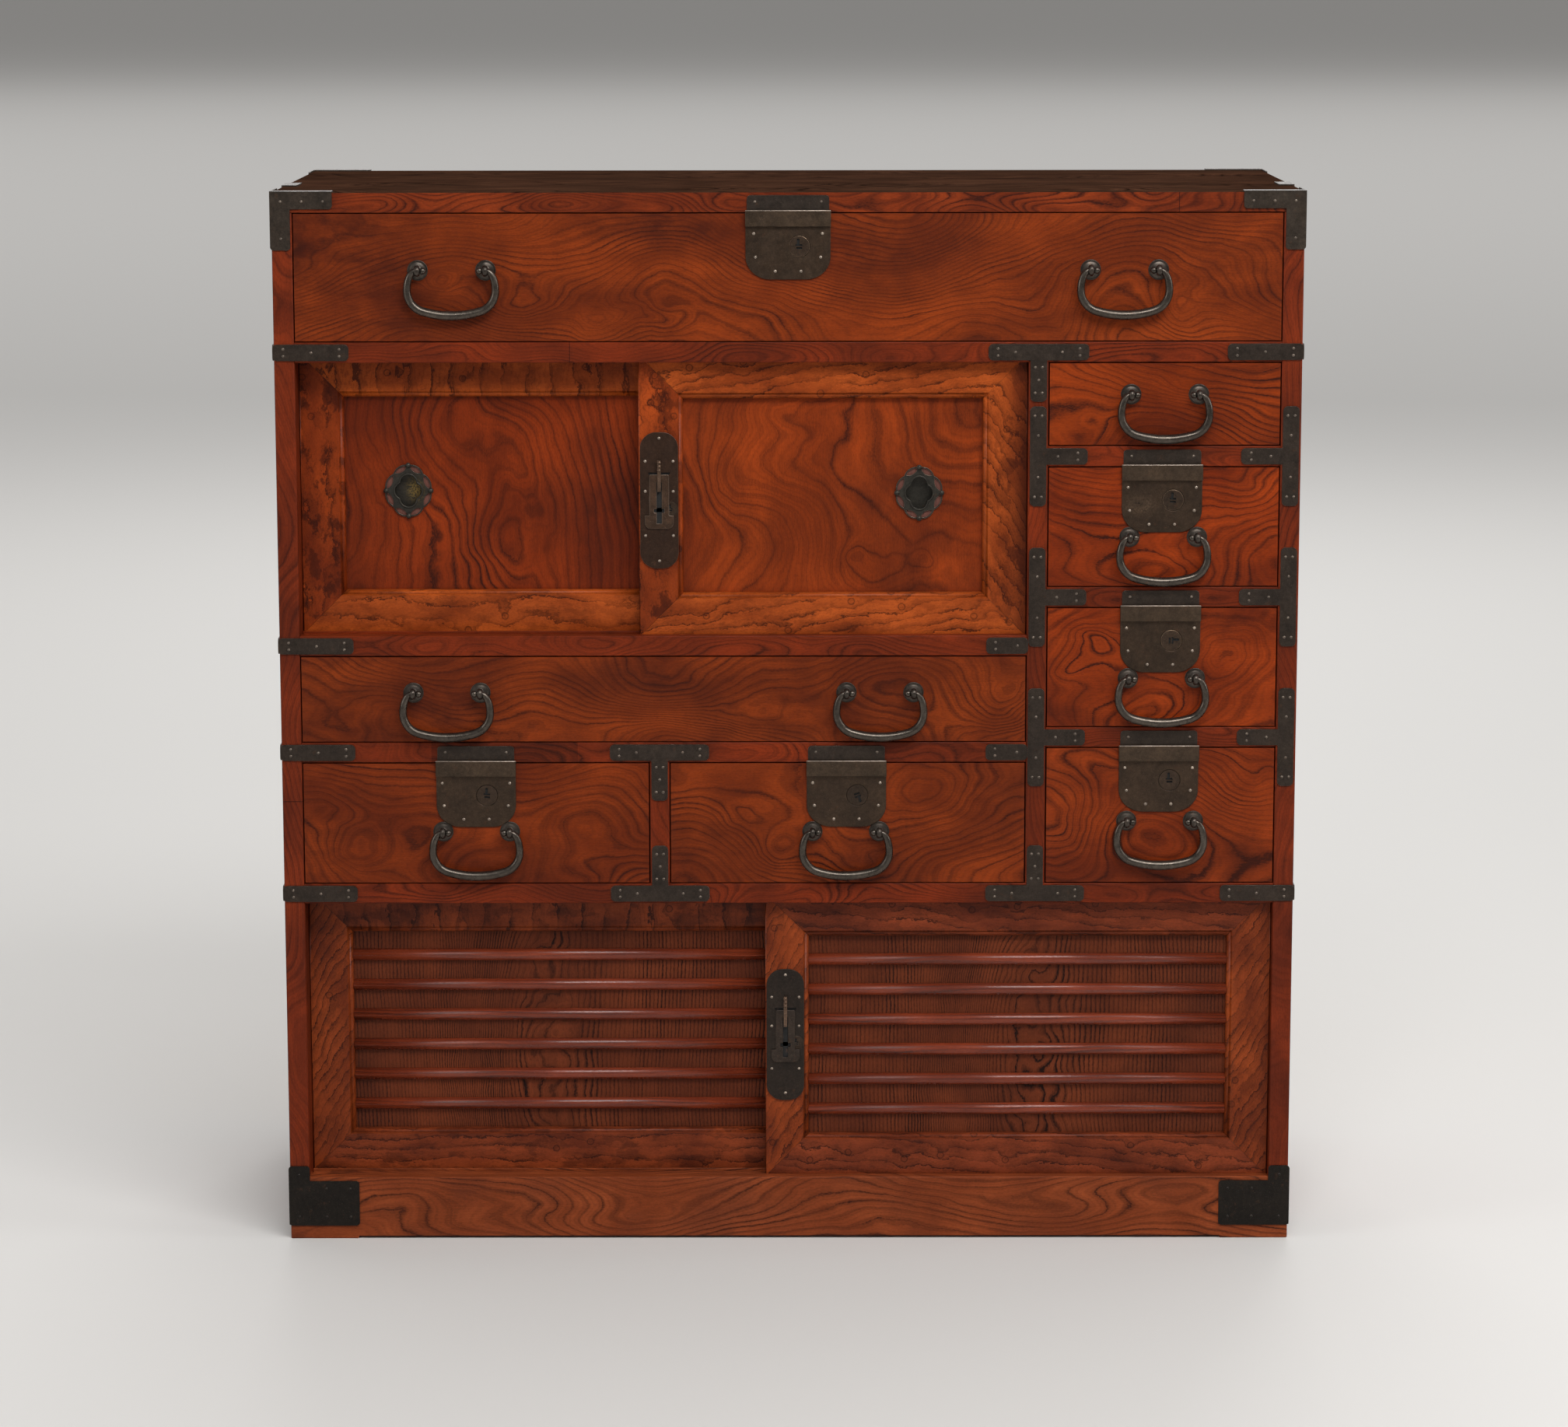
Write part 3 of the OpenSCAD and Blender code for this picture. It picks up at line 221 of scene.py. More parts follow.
def keyaki(name, seed, axes, grain="x", figure=(), shades=(), seams=(), ring=5.2, lie=0.5,
           hills=80, hill=(180, 105), wave=5, ragged=0.7, light=(142, 57, 17), body=(101, 37, 11),
           dark=(52, 18, 8), cloud=(60, 21, 10), line=1.0, clouds=0.5, rough=0.4, shine=0.09,
           coat=0.03):
    """Lacquered keyaki. Its figure is the level lines of a slope with humps, as in flat sawn
    timber: height rises across the board, and each whole number of it is one annual ring.
    axes are the board's two directions as seen on its face, figure the eyes of its grain as
    x, z, half width, half height, rings and tilt, and ring the rings' spacing where the wood
    lies flat. lie is how steeply the rings rise across, hills how they swell. shades are darker
    places in the wood and lacquer, or paler ones below zero, some of them painted shade where less
    light falls: x, z, half sizes, depth. seams are joints, splits and let in pieces: x, z, half
    sizes and depth of a dark oblong."""
    wood = Finish(name, rough, coat=coat, shine=shine)
    put, times, mix, ramp = wood.put, wood.times, wood.mix, wood.ramp
    across, up, face, noise = wood.board(axes, seed, grain)

    swelling = times(noise(*hill, 0.6), 2 * hills, -hills)
    waving = times(noise(58, 36, 2), 2 * wave, swelling)
    jagged = times(noise(10, 7.5, 2), 2 * ragged, waving)
    jagged = times(noise(3.2, 1.5, 1), 1.1, jagged)
    slope = times(up if grain == "x" else across, lie, jagged)
    height = times(slope, 1 / ring)
    sway = times(noise(48, 40, 2), 26.0, -13.0)
    bent = put("VectorMath", face, put("CombineXYZ", sway, sway, 0.0), operation="ADD")
    for x, z, half_x, half_z, rings, tilt in figure:
        hump = wood.fading(bent, (x, z, 0), (half_x, half_z, 1), tilt)
        height = times(hump, rings * 6.2 / ring, height)
    part = put("Math", height, operation="FRACT")
    number = put("Math", height, operation="FLOOR")
    late = ramp(part, (0, 1), (0.08, 0.8), (0.2, 0.26), (0.38, 0.0), (0.68, 0.06), (0.88, 0.42),
                (1, 1))
    early = ramp(part, (0.1, 0), (0.32, 1), (0.8, 0))
    each = put("TexWhiteNoise", None, put("Math", number, seed * 1.7, operation="ADD"),
               noise_dimensions="1D")
    each = put("MapRange", each, 0.0, 1.0, 0.3, 1.15)
    fade = put("MapRange", noise(90, 50, 2), 0.36, 0.64, 0.4, 1.1)
    pitted = put("MapRange", noise(2.6, 1.1, 2), 0.3, 0.6, 0.66, 1.08)
    strength = times(times(each, fade), pitted)
    fine = put("Math", times(height, 2.83), operation="FRACT")
    fine = times(ramp(fine, (0, 1), (0.3, 0), (0.75, 0), (1, 1)), 0.2)
    ink = times(times(late, strength), line, fine, clamp=True)
    fibre = noise(26, 0.9, 3, 0.6)
    pores = ramp(noise(3.6, 0.7, 2), (0.54, 0), (0.7, 1))
    glow = ramp(noise(95, 60, 3, 0.6), (0.4, 0), (0.66, 0.85))
    flare = times(times(early, strength), 0.26, glow, clamp=True)
    gloom = times(ramp(noise(120, 75, 3, 0.6), (0.46, 0), (0.72, 1)), clouds)
    broken = put("MapRange", noise(34, 20, 4, 0.6), 0.36, 0.62, 0.2, 1.0)
    for x, z, half_x, half_z, depth in shades:
        spot = wood.fading(bent, (x, z, 0), (half_x, half_z, 1))
        gloom = times(times(spot, broken), depth, gloom, clamp=True)
    for x, z, half_x, half_z, depth in seams:
        oblong = times(put("Math", across, x, half_x, operation="COMPARE"),
                       put("Math", up, z, half_z, operation="COMPARE"))
        ink = times(oblong, depth, ink, clamp=True)
    colour = mix(flare, srgb(*body), srgb(*light))
    colour = mix(gloom, colour, srgb(*cloud))
    colour = mix(ink, colour, srgb(*dark))
    colour = mix(times(pores, 0.26), colour, srgb(*dark))
    silk = put("MapRange", noise(2.6, 1.5, 3, 0.65), 0.3, 0.7, 0.9, 1.1)
    tone = times(put("MapRange", fibre, 0.25, 0.75, 0.88, 1.12), silk)
    dull = times(fibre, 0.06, times(ink, 0.12, rough))
    relief = put("Math", times(ink, -0.6), times(pores, -0.8), operation="ADD")
    return wood.finished(wood.shaded(colour, tone), relief, 0.2, dull)


def show(bm, name, body, finishes, nodes=(), metres=False):
    """Makes a mesh in case millimetres (or in metres) into a piece that rides on its body."""
    if not metres:
        bmesh.ops.transform(bm, matrix=to_case.inverted(), verts=bm.verts)
        bmesh.ops.recalc_face_normals(bm, faces=bm.faces)
    data = bpy.data.meshes.new(name)
    bm.to_mesh(data)
    bm.free()
    for each in finishes:
        data.materials.append(each)
    piece = bpy.data.objects.new(name, data)
    scene.collection.objects.link(piece)
    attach(piece, body)
    if nodes:
        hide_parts(*nodes)


def cut_off(bm, at, way):
    """Takes off what lies beyond a plane and closes the cut."""
    cut = bmesh.ops.bisect_plane(bm, geom=bm.verts[:] + bm.edges[:] + bm.faces[:], plane_co=at,
                                 plane_no=way, clear_outer=True)
    bmesh.ops.edgeloop_fill(
        bm, edges=[g for g in cut["geom_cut"] if isinstance(g, bmesh.types.BMEdge)])


def round_off(bm, edges, size, finish=1):
    """Rounds the given edges off, and gives the new faces a finish by its number."""
    made = bmesh.ops.bevel(bm, geom=edges, offset=size, offset_type="OFFSET", affect="EDGES",
                           segments=2, profile=0.5, material=-1, clamp_overlap=True)
    for face in made["faces"]:
        face.smooth = True
        face.material_index = finish


def eased(node, name, body, finishes, edge, keep=None, choose=None, rim=0, behind=None,
          outer=None):
    """The joiner's shape of a CAD node with its outer arrises eased by edge millimetres. keep
    picks what stays of it by a place in case millimetres, choose the finish of a face, behind
    takes off what stands in front of that depth, and outer picks the arrises that are eased."""
    bm = bmesh.new()
    bm.from_mesh(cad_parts[node].data)
    bmesh.ops.remove_doubles(bm, verts=bm.verts, dist=2e-6)
    if keep:
        away = [v for v in bm.verts if not keep(to_case @ v.co)]
        bmesh.ops.delete(bm, geom=away, context="VERTS")
    if behind is not None:
        cut_off(bm, (0, behind / 1000 + front_y, 0), (0, -1, 0))
    if outer is None:
        bmesh.ops.dissolve_limit(bm, angle_limit=math.radians(0.5), verts=bm.verts,
                                 edges=bm.edges)
    bmesh.ops.recalc_face_normals(bm, faces=bm.faces)
    soft, hard = math.radians(1), math.radians(32)
    for face in bm.faces:
        face.smooth = any(soft < e.calc_face_angle(0) < hard for e in face.edges)
        face.material_index = 0
    if edge:
        arrises = [e for e in bm.edges if e.is_manifold and e.is_convex
                   and e.calc_face_angle(0) > hard
                   and (outer is None or outer(to_case @ ((e.verts[0].co + e.verts[1].co) / 2)))]
        round_off(bm, arrises, edge / 1000, rim)
    if choose:
        for face in bm.faces:
            picked = choose(to_case @ face.calc_center_median(), face)
            face.material_index = face.material_index if picked is None else picked
    show(bm, name, body, finishes, (node,), metres=True)


front_axes = ((1, 0, 0), (0, 1, 1))
side_axes = ((1, 1, 0), (0, 0, 1))
top_axes = ((1, 0, 0), (0, 1, -1))

side_keyaki = keyaki("side_keyaki", 1, side_axes, "z", ring=7, lie=0.8, line=0.65, clouds=0.3,
                     light=(126, 47, 19), body=(92, 33, 14), dark=(44, 16, 9),
                     cloud=(60, 23, 13), seams=((-431, 393, 10, 0.35, 0.9),
                                                (431, 412, 10, 0.3, 0.8)))
top_keyaki = keyaki("top_keyaki", 2, top_axes, ring=9, light=(77, 50, 36), body=(56, 37, 27),
                    dark=(28, 17, 12), cloud=(36, 22, 15), rough=0.8, shine=0.0, coat=0.0)
edge_keyaki = keyaki("top_edge_keyaki", 6, front_axes, ring=5.5, hill=(120, 40),
                     light=(136, 54, 20), body=(94, 34, 13), seams=((333, 911, 0.35, 12, 0.9),))
rail_keyaki = keyaki("rail_keyaki", 3, front_axes, ring=5, hill=(110, 40), hills=50,
                     light=(130, 47, 17), body=(95, 34, 13), line=0.8,
                     seams=((-187, 784, 0.35, 12, 0.8), (-246.5, 436, 63.5, 12, 0.4)))
# The base is paler and greyer than the other boards: partly its own colour, partly painted light
# thrown up from the floor.
base_keyaki = keyaki("base_keyaki", 4, front_axes, ring=6, lie=0.8, hill=(260, 70), clouds=0.6,
                     light=(149, 72, 36), body=(117, 53, 25), dark=(54, 24, 14),
                     cloud=(80, 39, 26), rough=0.5)
divider_keyaki = keyaki("divider_keyaki", 5, side_axes, "z", ring=5, lie=0.9, hill=(150, 40),
                        hills=30, light=(130, 47, 17), body=(95, 34, 13), line=0.7)
eased("side_left", "side_left_board", "case", [side_keyaki], 1.0)
eased("side_right", "side_right_board", "case", [side_keyaki], 1.0)
top_level = 919.7  # what lies above it is the top's upper face
eased("top_board", "top_plank", "case", [top_keyaki, edge_keyaki], 1.2,
      choose=lambda place, face: 0 if place.z > top_level else 1)
eased("base_board", "base_plank", "case", [base_keyaki], 1.2)
eased("front_rails", "rails", "case", [rail_keyaki], 0.8)
eased("dividers", "upright_dividers", "case", [divider_keyaki], 0.8)


# ---- back and inside boards --------------------------------------------------------
# Thin planks of a pale softwood close the back, nailed at their ends and middle. The floors
# between the drawers are of the same wood, planed, left bare and browned with age.
def bare_wood(name, seed, axes, grain, light=(206, 172, 128), body=(186, 148, 104),
              dark=(140, 100, 62)):
    """Planed softwood: straight rings, fine fibre, a few brown stains, no gloss."""
    wood = Finish(name, 0.68)
    across, up, face, noise = wood.board(axes, seed, grain)
    slope = wood.times(noise(420, 60, 1), 46.0, up if grain == "x" else across)
    rings = wood.put("Math", wood.times(slope, 0.19), operation="FRACT")
    late = wood.ramp(rings, (0, 1), (0.12, 0.2), (0.5, 0), (0.85, 0.25), (1, 1))
    colour = wood.mix(noise(90, 12, 2), srgb(*body), srgb(*light))
    colour = wood.mix(wood.times(late, 0.45), colour, srgb(*dark))
    stain = wood.ramp(noise(160, 90, 3), (0.5, 0), (0.75, 0.5))
    colour = wood.mix(stain, colour, srgb(*dark))
    fibre = noise(30, 0.8, 3)
    tone = wood.put("MapRange", fibre, 0.2, 0.8, 0.88, 1.1)
    return wood.finished(wood.shaded(colour, tone), fibre, 0.3)


def dome(bm, at, radius, squash=(1, 1, 1), finish=0, around=16, over=10):
    """A round head about a place, pressed flat or stretched by squash."""
    made = bmesh.ops.create_uvsphere(
        bm, u_segments=around, v_segments=over, radius=radius,
        matrix=Matrix.Translation(at) @ Matrix.Diagonal((*squash, 1)))
    for face in {f for v in made["verts"] for f in v.link_faces}:
        face.smooth = True
        face.material_index = finish


def steel():
    """Bare grey steel, mottled by age, for the nails of the back."""
    metal = Finish("nail_steel", 0.5, metallic=0.8)
    mottle = metal.put("TexNoise", metal.put("TexCoord", out="Object"), None, 900.0, 2.0)
    metal.fill([metal.shader.inputs["Base Color"]],
               [metal.ramp(mottle, (0.3, 0.045), (0.7, 0.12))])
    return metal.material


back_wood = bare_wood("back_wood", 11, side_axes, "x", light=(176, 138, 98),
                      body=(152, 114, 78), dark=(104, 72, 46))
shelf_wood = bare_wood("shelf_wood", 12, top_axes, "x")
eased("back_boards", "back_planks", "case", [back_wood], 0.8)
back_low, back_high = (to_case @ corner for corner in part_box("back_boards"))
planks, from_end = 4, 14
plank_h = (back_high.z - back_low.z) / planks
bm = bmesh.new()
for plank in range(planks):
    for share in (0.18, 0.82):
        for along in (0, 0.5, 1):
            dome(bm, Vector((back_low.x + from_end
                             + (back_high.x - back_low.x - 2 * from_end) * along,
                             back_high.y + 0.2, back_low.z + plank_h * (plank + share))),
                 2.2, (1, 0.5, 1), around=14, over=8)
show(bm, "back_nails", "case", [steel()])
apron_high, apron_deep = 57, 31  # the bottom board's front edge, finished as the base
eased("shelf_boards", "inside_boards", "case", [shelf_wood, base_keyaki], 0.8,
      choose=lambda place, face: int(place.z < apron_high and place.y < apron_deep))


# ---- the drawers -------------------------------------------------------------------
# Each drawer has a thick front board of figured keyaki, lacquered on its face, and behind it a
# box of bare softwood: two sides, a back and a thin bottom.
drawer_wood = bare_wood("drawer_wood", 13, ((0, 1, 0), (1, 0, 1)), "x")
front_thick = 17.4
drawer_figures = dict(
    top_drawer=((-432, 846, 62, 40, 5, 0), (-296, 842, 15, 9, 2.6, 0), (-227, 823, 28, 15, 3, 0),
                (-159, 811, 34, 16, 3.6, 6), (-108, 808, 30, 15, 3.2, 0), (32, 918, 118, 66, 10, 0),
                (224, 820, 46, 42, 4.4, 0), (333, 815, 30, 22, 3.6, 0), (400, 880, 50, 26, -3, 30)),
    wide_drawer=((-330, 470, 60, 24, -3, -18), (-120, 486, 50, 18, 3, 0), (-40, 462, 44, 14, 3, 0),
                 (186, 472, 34, 22, 5, 0), (60, 520, 60, 20, 3, 0)),
    left_drawer=((-396, 392, 34, 18, -3, 0), (-372, 354, 30, 16, 4, 0), (-122, 368, 40, 32, 5, 0),
                 (-178, 318, 30, 18, 3, 0), (-250, 430, 60, 16, 3, 0)),
    right_drawer=((-104, 378, 60, 26, -3, 0), (-45, 375, 26, 14, 3.5, -15), (-6, 350, 26, 15, 4, 0),
                  (130, 395, 52, 42, 5, 0), (60, 336, 34, 14, 3, 0)),
    column_drawer_1=((301, 778, 42, 26, 4, 0), (262, 712, 38, 26, 4, 10), (337, 752, 24, 10, 3, 0),
                     (400, 700, 50, 22, 3, 40)),
    column_drawer_2=((240, 690, 52, 44, 6, 0), (394, 660, 40, 26, 4, -20), (330, 590, 46, 20, 3, 0)),
    column_drawer_3=((261, 533, 24, 15, 4, -12), (244, 512, 16, 10, 2.4, 0), (306, 465, 50, 20, 4, 25),
                     (383, 526, 30, 28, 5, 0)),
    column_drawer_4=((238, 372, 36, 34, 5, 0), (396, 404, 34, 32, 4, 0), (330, 440, 50, 18, 3, 0)))
# Darker and paler places on the fronts. The dark left ends of the top and wide drawers are partly
# painted shade where less light falls; the other places are the wood's own clouds.
drawer_shades = dict(
    top_drawer=((-400, 870, 110, 80, 0.7), (-330, 820, 40, 30, 0.3), (-120, 895, 70, 22, 0.6),
                (70, 866, 40, 34, 0.7), (385, 870, 60, 50, 0.45), (-60, 860, 60, 50, 0.3),
                (-290, 842, 18, 12, -0.5)),
    wide_drawer=((-385, 490, 80, 60, 0.55), (-290, 476, 30, 24, 0.75), (-120, 500, 60, 20, 0.45),
                 (40, 480, 90, 30, 0.35), (-20, 455, 40, 12, 0.4), (-215, 470, 40, 18, -0.3)),
    left_drawer=((-400, 360, 40, 60, 0.45), (-330, 410, 40, 20, 0.4), (-190, 400, 60, 20, 0.3)),
    right_drawer=((-80, 350, 40, 30, 0.45), (60, 360, 50, 40, 0.35), (190, 420, 40, 30, 0.4)),
    column_drawer_1=((400, 760, 40, 30, 0.5), (300, 712, 40, 12, 0.4)),
    column_drawer_2=((236, 650, 26, 50, 0.4), (400, 600, 40, 40, 0.5)),
    column_drawer_3=((390, 552, 50, 26, 0.7), (250, 470, 40, 14, 0.4)),
    column_drawer_4=((240, 420, 40, 40, 0.35), (400, 350, 30, 50, 0.4)))
tones = dict(
    top_drawer=(0, 0, 0), wide_drawer=(-3, -1, 0), left_drawer=(-5, -3, -1),
    right_drawer=(0, 0, 0), column_drawer_1=(2, -2, -3), column_drawer_2=(11, 0, -2),
    column_drawer_3=(13, 2, -1), column_drawer_4=(2, -1, 0))
for number, (drawer, figure) in enumerate(drawer_figures.items()):
    tone = tones[drawer]
    bold, apart = (0.86, 5.4) if drawer in ("top_drawer", "wide_drawer") else (1.0, 7.0)
    board = keyaki(drawer + "_keyaki", 20 + number, front_axes, figure=figure,
                   shades=drawer_shades[drawer], line=bold, ring=apart, clouds=0.4,
                   light=tuple(a + b for a, b in zip((143, 58, 17), tone)),
                   body=tuple(a + b for a, b in zip((102, 38, 11), tone)))
    eased(drawer, drawer + "_box", drawer, [board, drawer_wood], 0.8,
          choose=lambda place, face: 0 if place.y < front_thick else 1)


# ---- the sliding doors -------------------------------------------------------------
# Four doors run in grooves, two before two. Each has four mitred members of ragged figured
# keyaki with a thin bead along the inner edge. The upper pair frames figured panels, the lower
# pair six rounded slats over a dark panel.
member_w = 33.5
bead_w = 4.5
door_t = 17
door_lap = 41
door_play = 0.5
in_tracks = 8
panel_set = 6
panel_t = 6
panel_in = 4
front_set = 11
rear_set = 31
# the openings' left, right, low and high edges
upper_opening = (-422.5, 206, 538.5, 775)
lower_opening = (-422.5, 422.5, 56, 302.5)
slat_h, slat_n = 10.5, 6


def door_size(opening):
    """Width and height of one door of the pair that fills an opening."""
    left, right_end, low, high = opening
    return (right_end - left + door_lap) / 2 - door_play, high - low + in_tracks


def door_corner(opening, side):
    """Left, front and bottom of a door: side is -1 for the rear left one, 1 for the front one."""
    width = door_size(opening)[0]
    return Vector((opening[0] + door_play if side < 0 else opening[1] - width - door_play,
                   rear_set if side < 0 else front_set, opening[2] - 2))


def pushed(bm, faces, way, keep=False):
    """Makes faces into a solid, with its far side moved off by way. Returns the far corners."""
    made = bmesh.ops.extrude_face_region(bm, geom=faces, use_keep_orig=keep)["geom"]
    corners = [g for g in made if isinstance(g, bmesh.types.BMVert)]
    bmesh.ops.translate(bm, verts=corners, vec=way)
    return corners


def member(length):
    """One frame member along +X with its outer edge on z = 0: a flat, a quirk, a bead, mitred."""
    edge_w = member_w + bead_w
    bead = (bead_w - 0.8) / 2
    profile = [(0.6, 0), (0.2, 0.2), (0, 0.6), (0, member_w - 0.4), (0.8, member_w),
               (0.9, member_w + 0.6)]
    profile += [(0.5 + bead * (1 - math.sin(a)), member_w + 0.8 + bead * (1 - math.cos(a)))
                for a in (math.pi * k / 8 for k in range(1, 8))]
    profile += [(0.5 + bead, edge_w), (panel_set - 0.1, edge_w),
                (panel_set - 0.1, edge_w - panel_in), (door_t, edge_w - panel_in), (door_t, 0)]
    bm = bmesh.new()
    end = bm.faces.new([bm.verts.new((0, y, z)) for y, z in profile])
    pushed(bm, [end], (length, 0, 0))
    cut_off(bm, (0.12, 0, 0), (-1, 0, 1))
    cut_off(bm, (length - 0.12, 0, 0), (1, 0, 1))
    for face in bm.faces:
        face.smooth = face.calc_area() < 1.6 * length
    return bm


def frame_members(opening, side, upright):
    """The two level members, or the two upright ones, of a door's frame."""
    width, height = door_size(opening)
    quarter = Matrix.Rotation(math.pi / 2, 4, "Y")
    if upright:
        places = ((height, Matrix.Translation((0, 0, height)) @ quarter),
                  (height, Matrix.Translation((width, 0, 0)) @ quarter.inverted()))
    else:
        places = ((width, Matrix.Identity(4)),
                  (width, Matrix.Translation((width, 0, height)) @ quarter @ quarter))
    bm = bmesh.new()
    for length, place in places:
        one = member(length)
        bmesh.ops.transform(one, verts=one.verts,
                            matrix=Matrix.Translation(door_corner(opening, side)) @ place)
        part = bpy.data.meshes.new("member")
        one.to_mesh(part)
        one.free()
        bm.from_mesh(part)
        bpy.data.meshes.remove(part)
    return bm


def block(bm, low, size):
    """A squared piece from its low corner."""
    return bmesh.ops.create_cube(bm, size=1, matrix=Matrix.Translation(low + size / 2)
                                 @ Matrix.Diagonal(size).to_4x4())["verts"]


def panel_board(opening, side):
    """The thin panel that stands in the frame's grooves."""
    width, height = door_size(opening)
    inset = member_w + bead_w - panel_in
    bm = bmesh.new()
    block(bm, door_corner(opening, side) + Vector((inset, panel_set, inset)),
          Vector((width - 2 * inset, panel_t, height - 2 * inset)))
    return bm


def slats(opening, side):
    """The slats across a lower door, rounded off in front and let into its frame."""
    width, height = door_size(opening)
    inset = member_w + bead_w
    gap = (height - 2 * inset - slat_n * slat_h) / (slat_n + 1)
    bm = bmesh.new()
    for k in range(slat_n):
        low = door_corner(opening, side) + Vector(
            (inset - 0.4, 0.5, inset + gap + k * (slat_h + gap)))
        corners = block(bm, low, Vector((width - 2 * inset + 0.8, panel_set - 0.6, slat_h)))
        front = [e for e in {e for v in corners for e in v.link_edges}
                 if all(abs(v.co.y - low.y) < 0.01 for v in e.verts)
                 and abs(e.verts[0].co.z - e.verts[1].co.z) < 0.01]
        rounded = bmesh.ops.bevel(bm, geom=front, offset=5.15, affect="EDGES", segments=8,
                                  profile=0.5, material=-1)
        for face in rounded["faces"]:
            face.smooth = True
    return bm


def ragged_keyaki(name, seed, axes, grain, light, body, dark, step=13.0, blotches=0.5,
                  knots=0.5, shades=(), waves_above=None, slant=0.0):
    """Keyaki from near the root: dark lines with torn edges, brown blotches and small knots.
    The lines run along the member, or over it by slant. Above the height waves_above its rings
    cross the member as dark waves."""
    wood = Finish(name, 0.36, coat=0.04, shine=0.1)
    put, times, mix, ramp = wood.put, wood.times, wood.mix, wood.ramp
    across, up, face, noise = wood.board(axes, seed, grain)

    cell = 34.0
    nearest = wood.tree.nodes.new("ShaderNodeTexVoronoi")
    nearest.voronoi_dimensions = "2D"
    wood.tree.links.new(put("VectorMath", face, (1 / cell, 1 / cell, 0.37),
                            operation="MULTIPLY"), nearest.inputs["Vector"])
    nearest.inputs["Scale"].default_value = 1.0
    some = put("Math", put("SeparateXYZ", nearest.outputs["Color"]), 1 - knots,
               operation="GREATER_THAN")
    away = times(times(noise(6, 6, 2), 0.05, nearest.outputs["Distance"]), cell)
    hump = times(ramp(times(away, 1 / 16.0), (0, 1), (1, 0)), some)
    torn = times(noise(64, 30, 2), 2.0 * step)
    torn = times(noise(9, 5, 4, 0.72), 1.1 * step, torn)
    torn = times(across if grain == "x" else up, slant, torn)
    rise = times(up if grain == "x" else across, 0.9, torn)
    if waves_above is not None:
        high = put("Math", up, waves_above, operation="GREATER_THAN")
        waves = times(across, step / 21.0, times(noise(9, 24, 5, 0.65), 1.5 * step))
        rise = put("Mix", high, None, rise, waves)
    level = times(hump, 0.7, times(rise, 1 / step))
    part = put("Math", level, operation="FRACT")
    edge = ramp(part, (0, 1), (0.05, 0.9), (0.13, 0.42), (0.42, 0.16), (0.75, 0), (0.97, 0),
                (1, 1))
    fine = ramp(put("Math", times(level, 3.37), operation="FRACT"),
                (0, 1), (0.14, 0.3), (0.45, 0), (0.92, 0), (1, 1))
    fade = put("MapRange", noise(46, 30, 2), 0.34, 0.58, 0.35, 1.1)
    ink = times(times(fine, 0.42), fade, times(edge, fade), clamp=True)
    blotch = ramp(noise(26, 17, 5, 0.62), (0.53, 0), (0.57, 0.75), (0.7, 1))
    ring = ramp(times(away, 1 / 6.0), (0.28, 0.25), (0.45, 0.12), (0.58, 0.9), (0.75, 0))
    ring = times(ring, some)
    glow = ramp(noise(70, 34, 3, 0.6), (0.36, 0), (0.64, 1))
    speckle = noise(2.4, 1.3, 3, 0.7)
    colour = mix(glow, srgb(*body), srgb(*light))
    gloom = times(blotch, blotches)
    for x, z, half_x, half_z, depth in shades:
        spot = wood.fading(face, (x, z, 0), (half_x, half_z, 1))
        gloom = times(spot, depth, gloom, clamp=True)
    colour = mix(gloom, colour, srgb(*[0.35 * b + 0.65 * d for b, d in zip(body, dark)]))
    colour = mix(times(ink, 0.85), colour, srgb(*dark))
    colour = mix(times(ring, 0.8), colour, srgb(*dark))
    tone = put("MapRange", speckle, 0.25, 0.75, 0.8, 1.18)
    return wood.finished(wood.shaded(colour, tone), speckle, 0.2)


gold, tan, brown = (174, 80, 29), (131, 55, 18), (48, 16, 7)
front_level = ragged_keyaki("door_level_keyaki", 31, front_axes, "x", gold, tan, brown,
                            step=9, blotches=0.3, slant=-0.16)
rear_level = ragged_keyaki("rear_level_keyaki", 39, front_axes, "x", gold, tan, brown,
                           step=16, blotches=0.3, waves_above=720)
front_upright = ragged_keyaki("door_upright_keyaki", 32, side_axes, "z", gold, tan, brown,
                              step=10, blotches=0.4, slant=0.6,
                              shades=((216, 655, 17, 150, 0.95),))
latch_stile = ragged_keyaki("latch_stile_keyaki", 41, side_axes, "z", (158, 66, 22),
                            (118, 45, 14), brown, step=24, blotches=0.7, knots=0.6,
                            shades=((-110, 560, 30, 40, 0.4),))
rear_upright = ragged_keyaki("rear_upright_keyaki", 40, side_axes, "z", (142, 57, 18),
                             (106, 38, 12), brown, step=20, blotches=0.95, knots=0.7)
lower_level = ragged_keyaki("lower_level_keyaki", 33, front_axes, "x", (130, 58, 30), (94, 39, 20),
                            (38, 15, 9), step=9, blotches=0.3, slant=0.08)
lower_rear = ragged_keyaki("lower_rear_keyaki", 42, front_axes, "x", (138, 62, 30), (96, 40, 20),
                           (34, 14, 9), step=9, blotches=0.5, knots=0.2, waves_above=200)
lower_upright = ragged_keyaki("lower_upright_keyaki", 34, side_axes, "z", (144, 64, 26),
                              (104, 42, 17), (44, 16, 9), step=8, blotches=0.3, knots=0.3,
                              slant=-0.55)
rear_panel = keyaki("rear_panel_keyaki", 35, side_axes, "z", ring=7.5, lie=0.6, hills=60,
                    hill=(230, 150),
                    figure=((-258, 712, 52, 60, 6, 0), (-203, 748, 30, 22, 4, 0),
                            (-215, 620, 36, 56, 7, 0), (-320, 590, 30, 60, -2, 0)),
                    shades=((-370, 700, 40, 80, 0.5), (-130, 640, 34, 60, 0.6),
                            (-200, 700, 50, 40, -0.4), (-215, 580, 30, 50, -0.4)),
                    light=(136, 50, 14), body=(103, 35, 9))
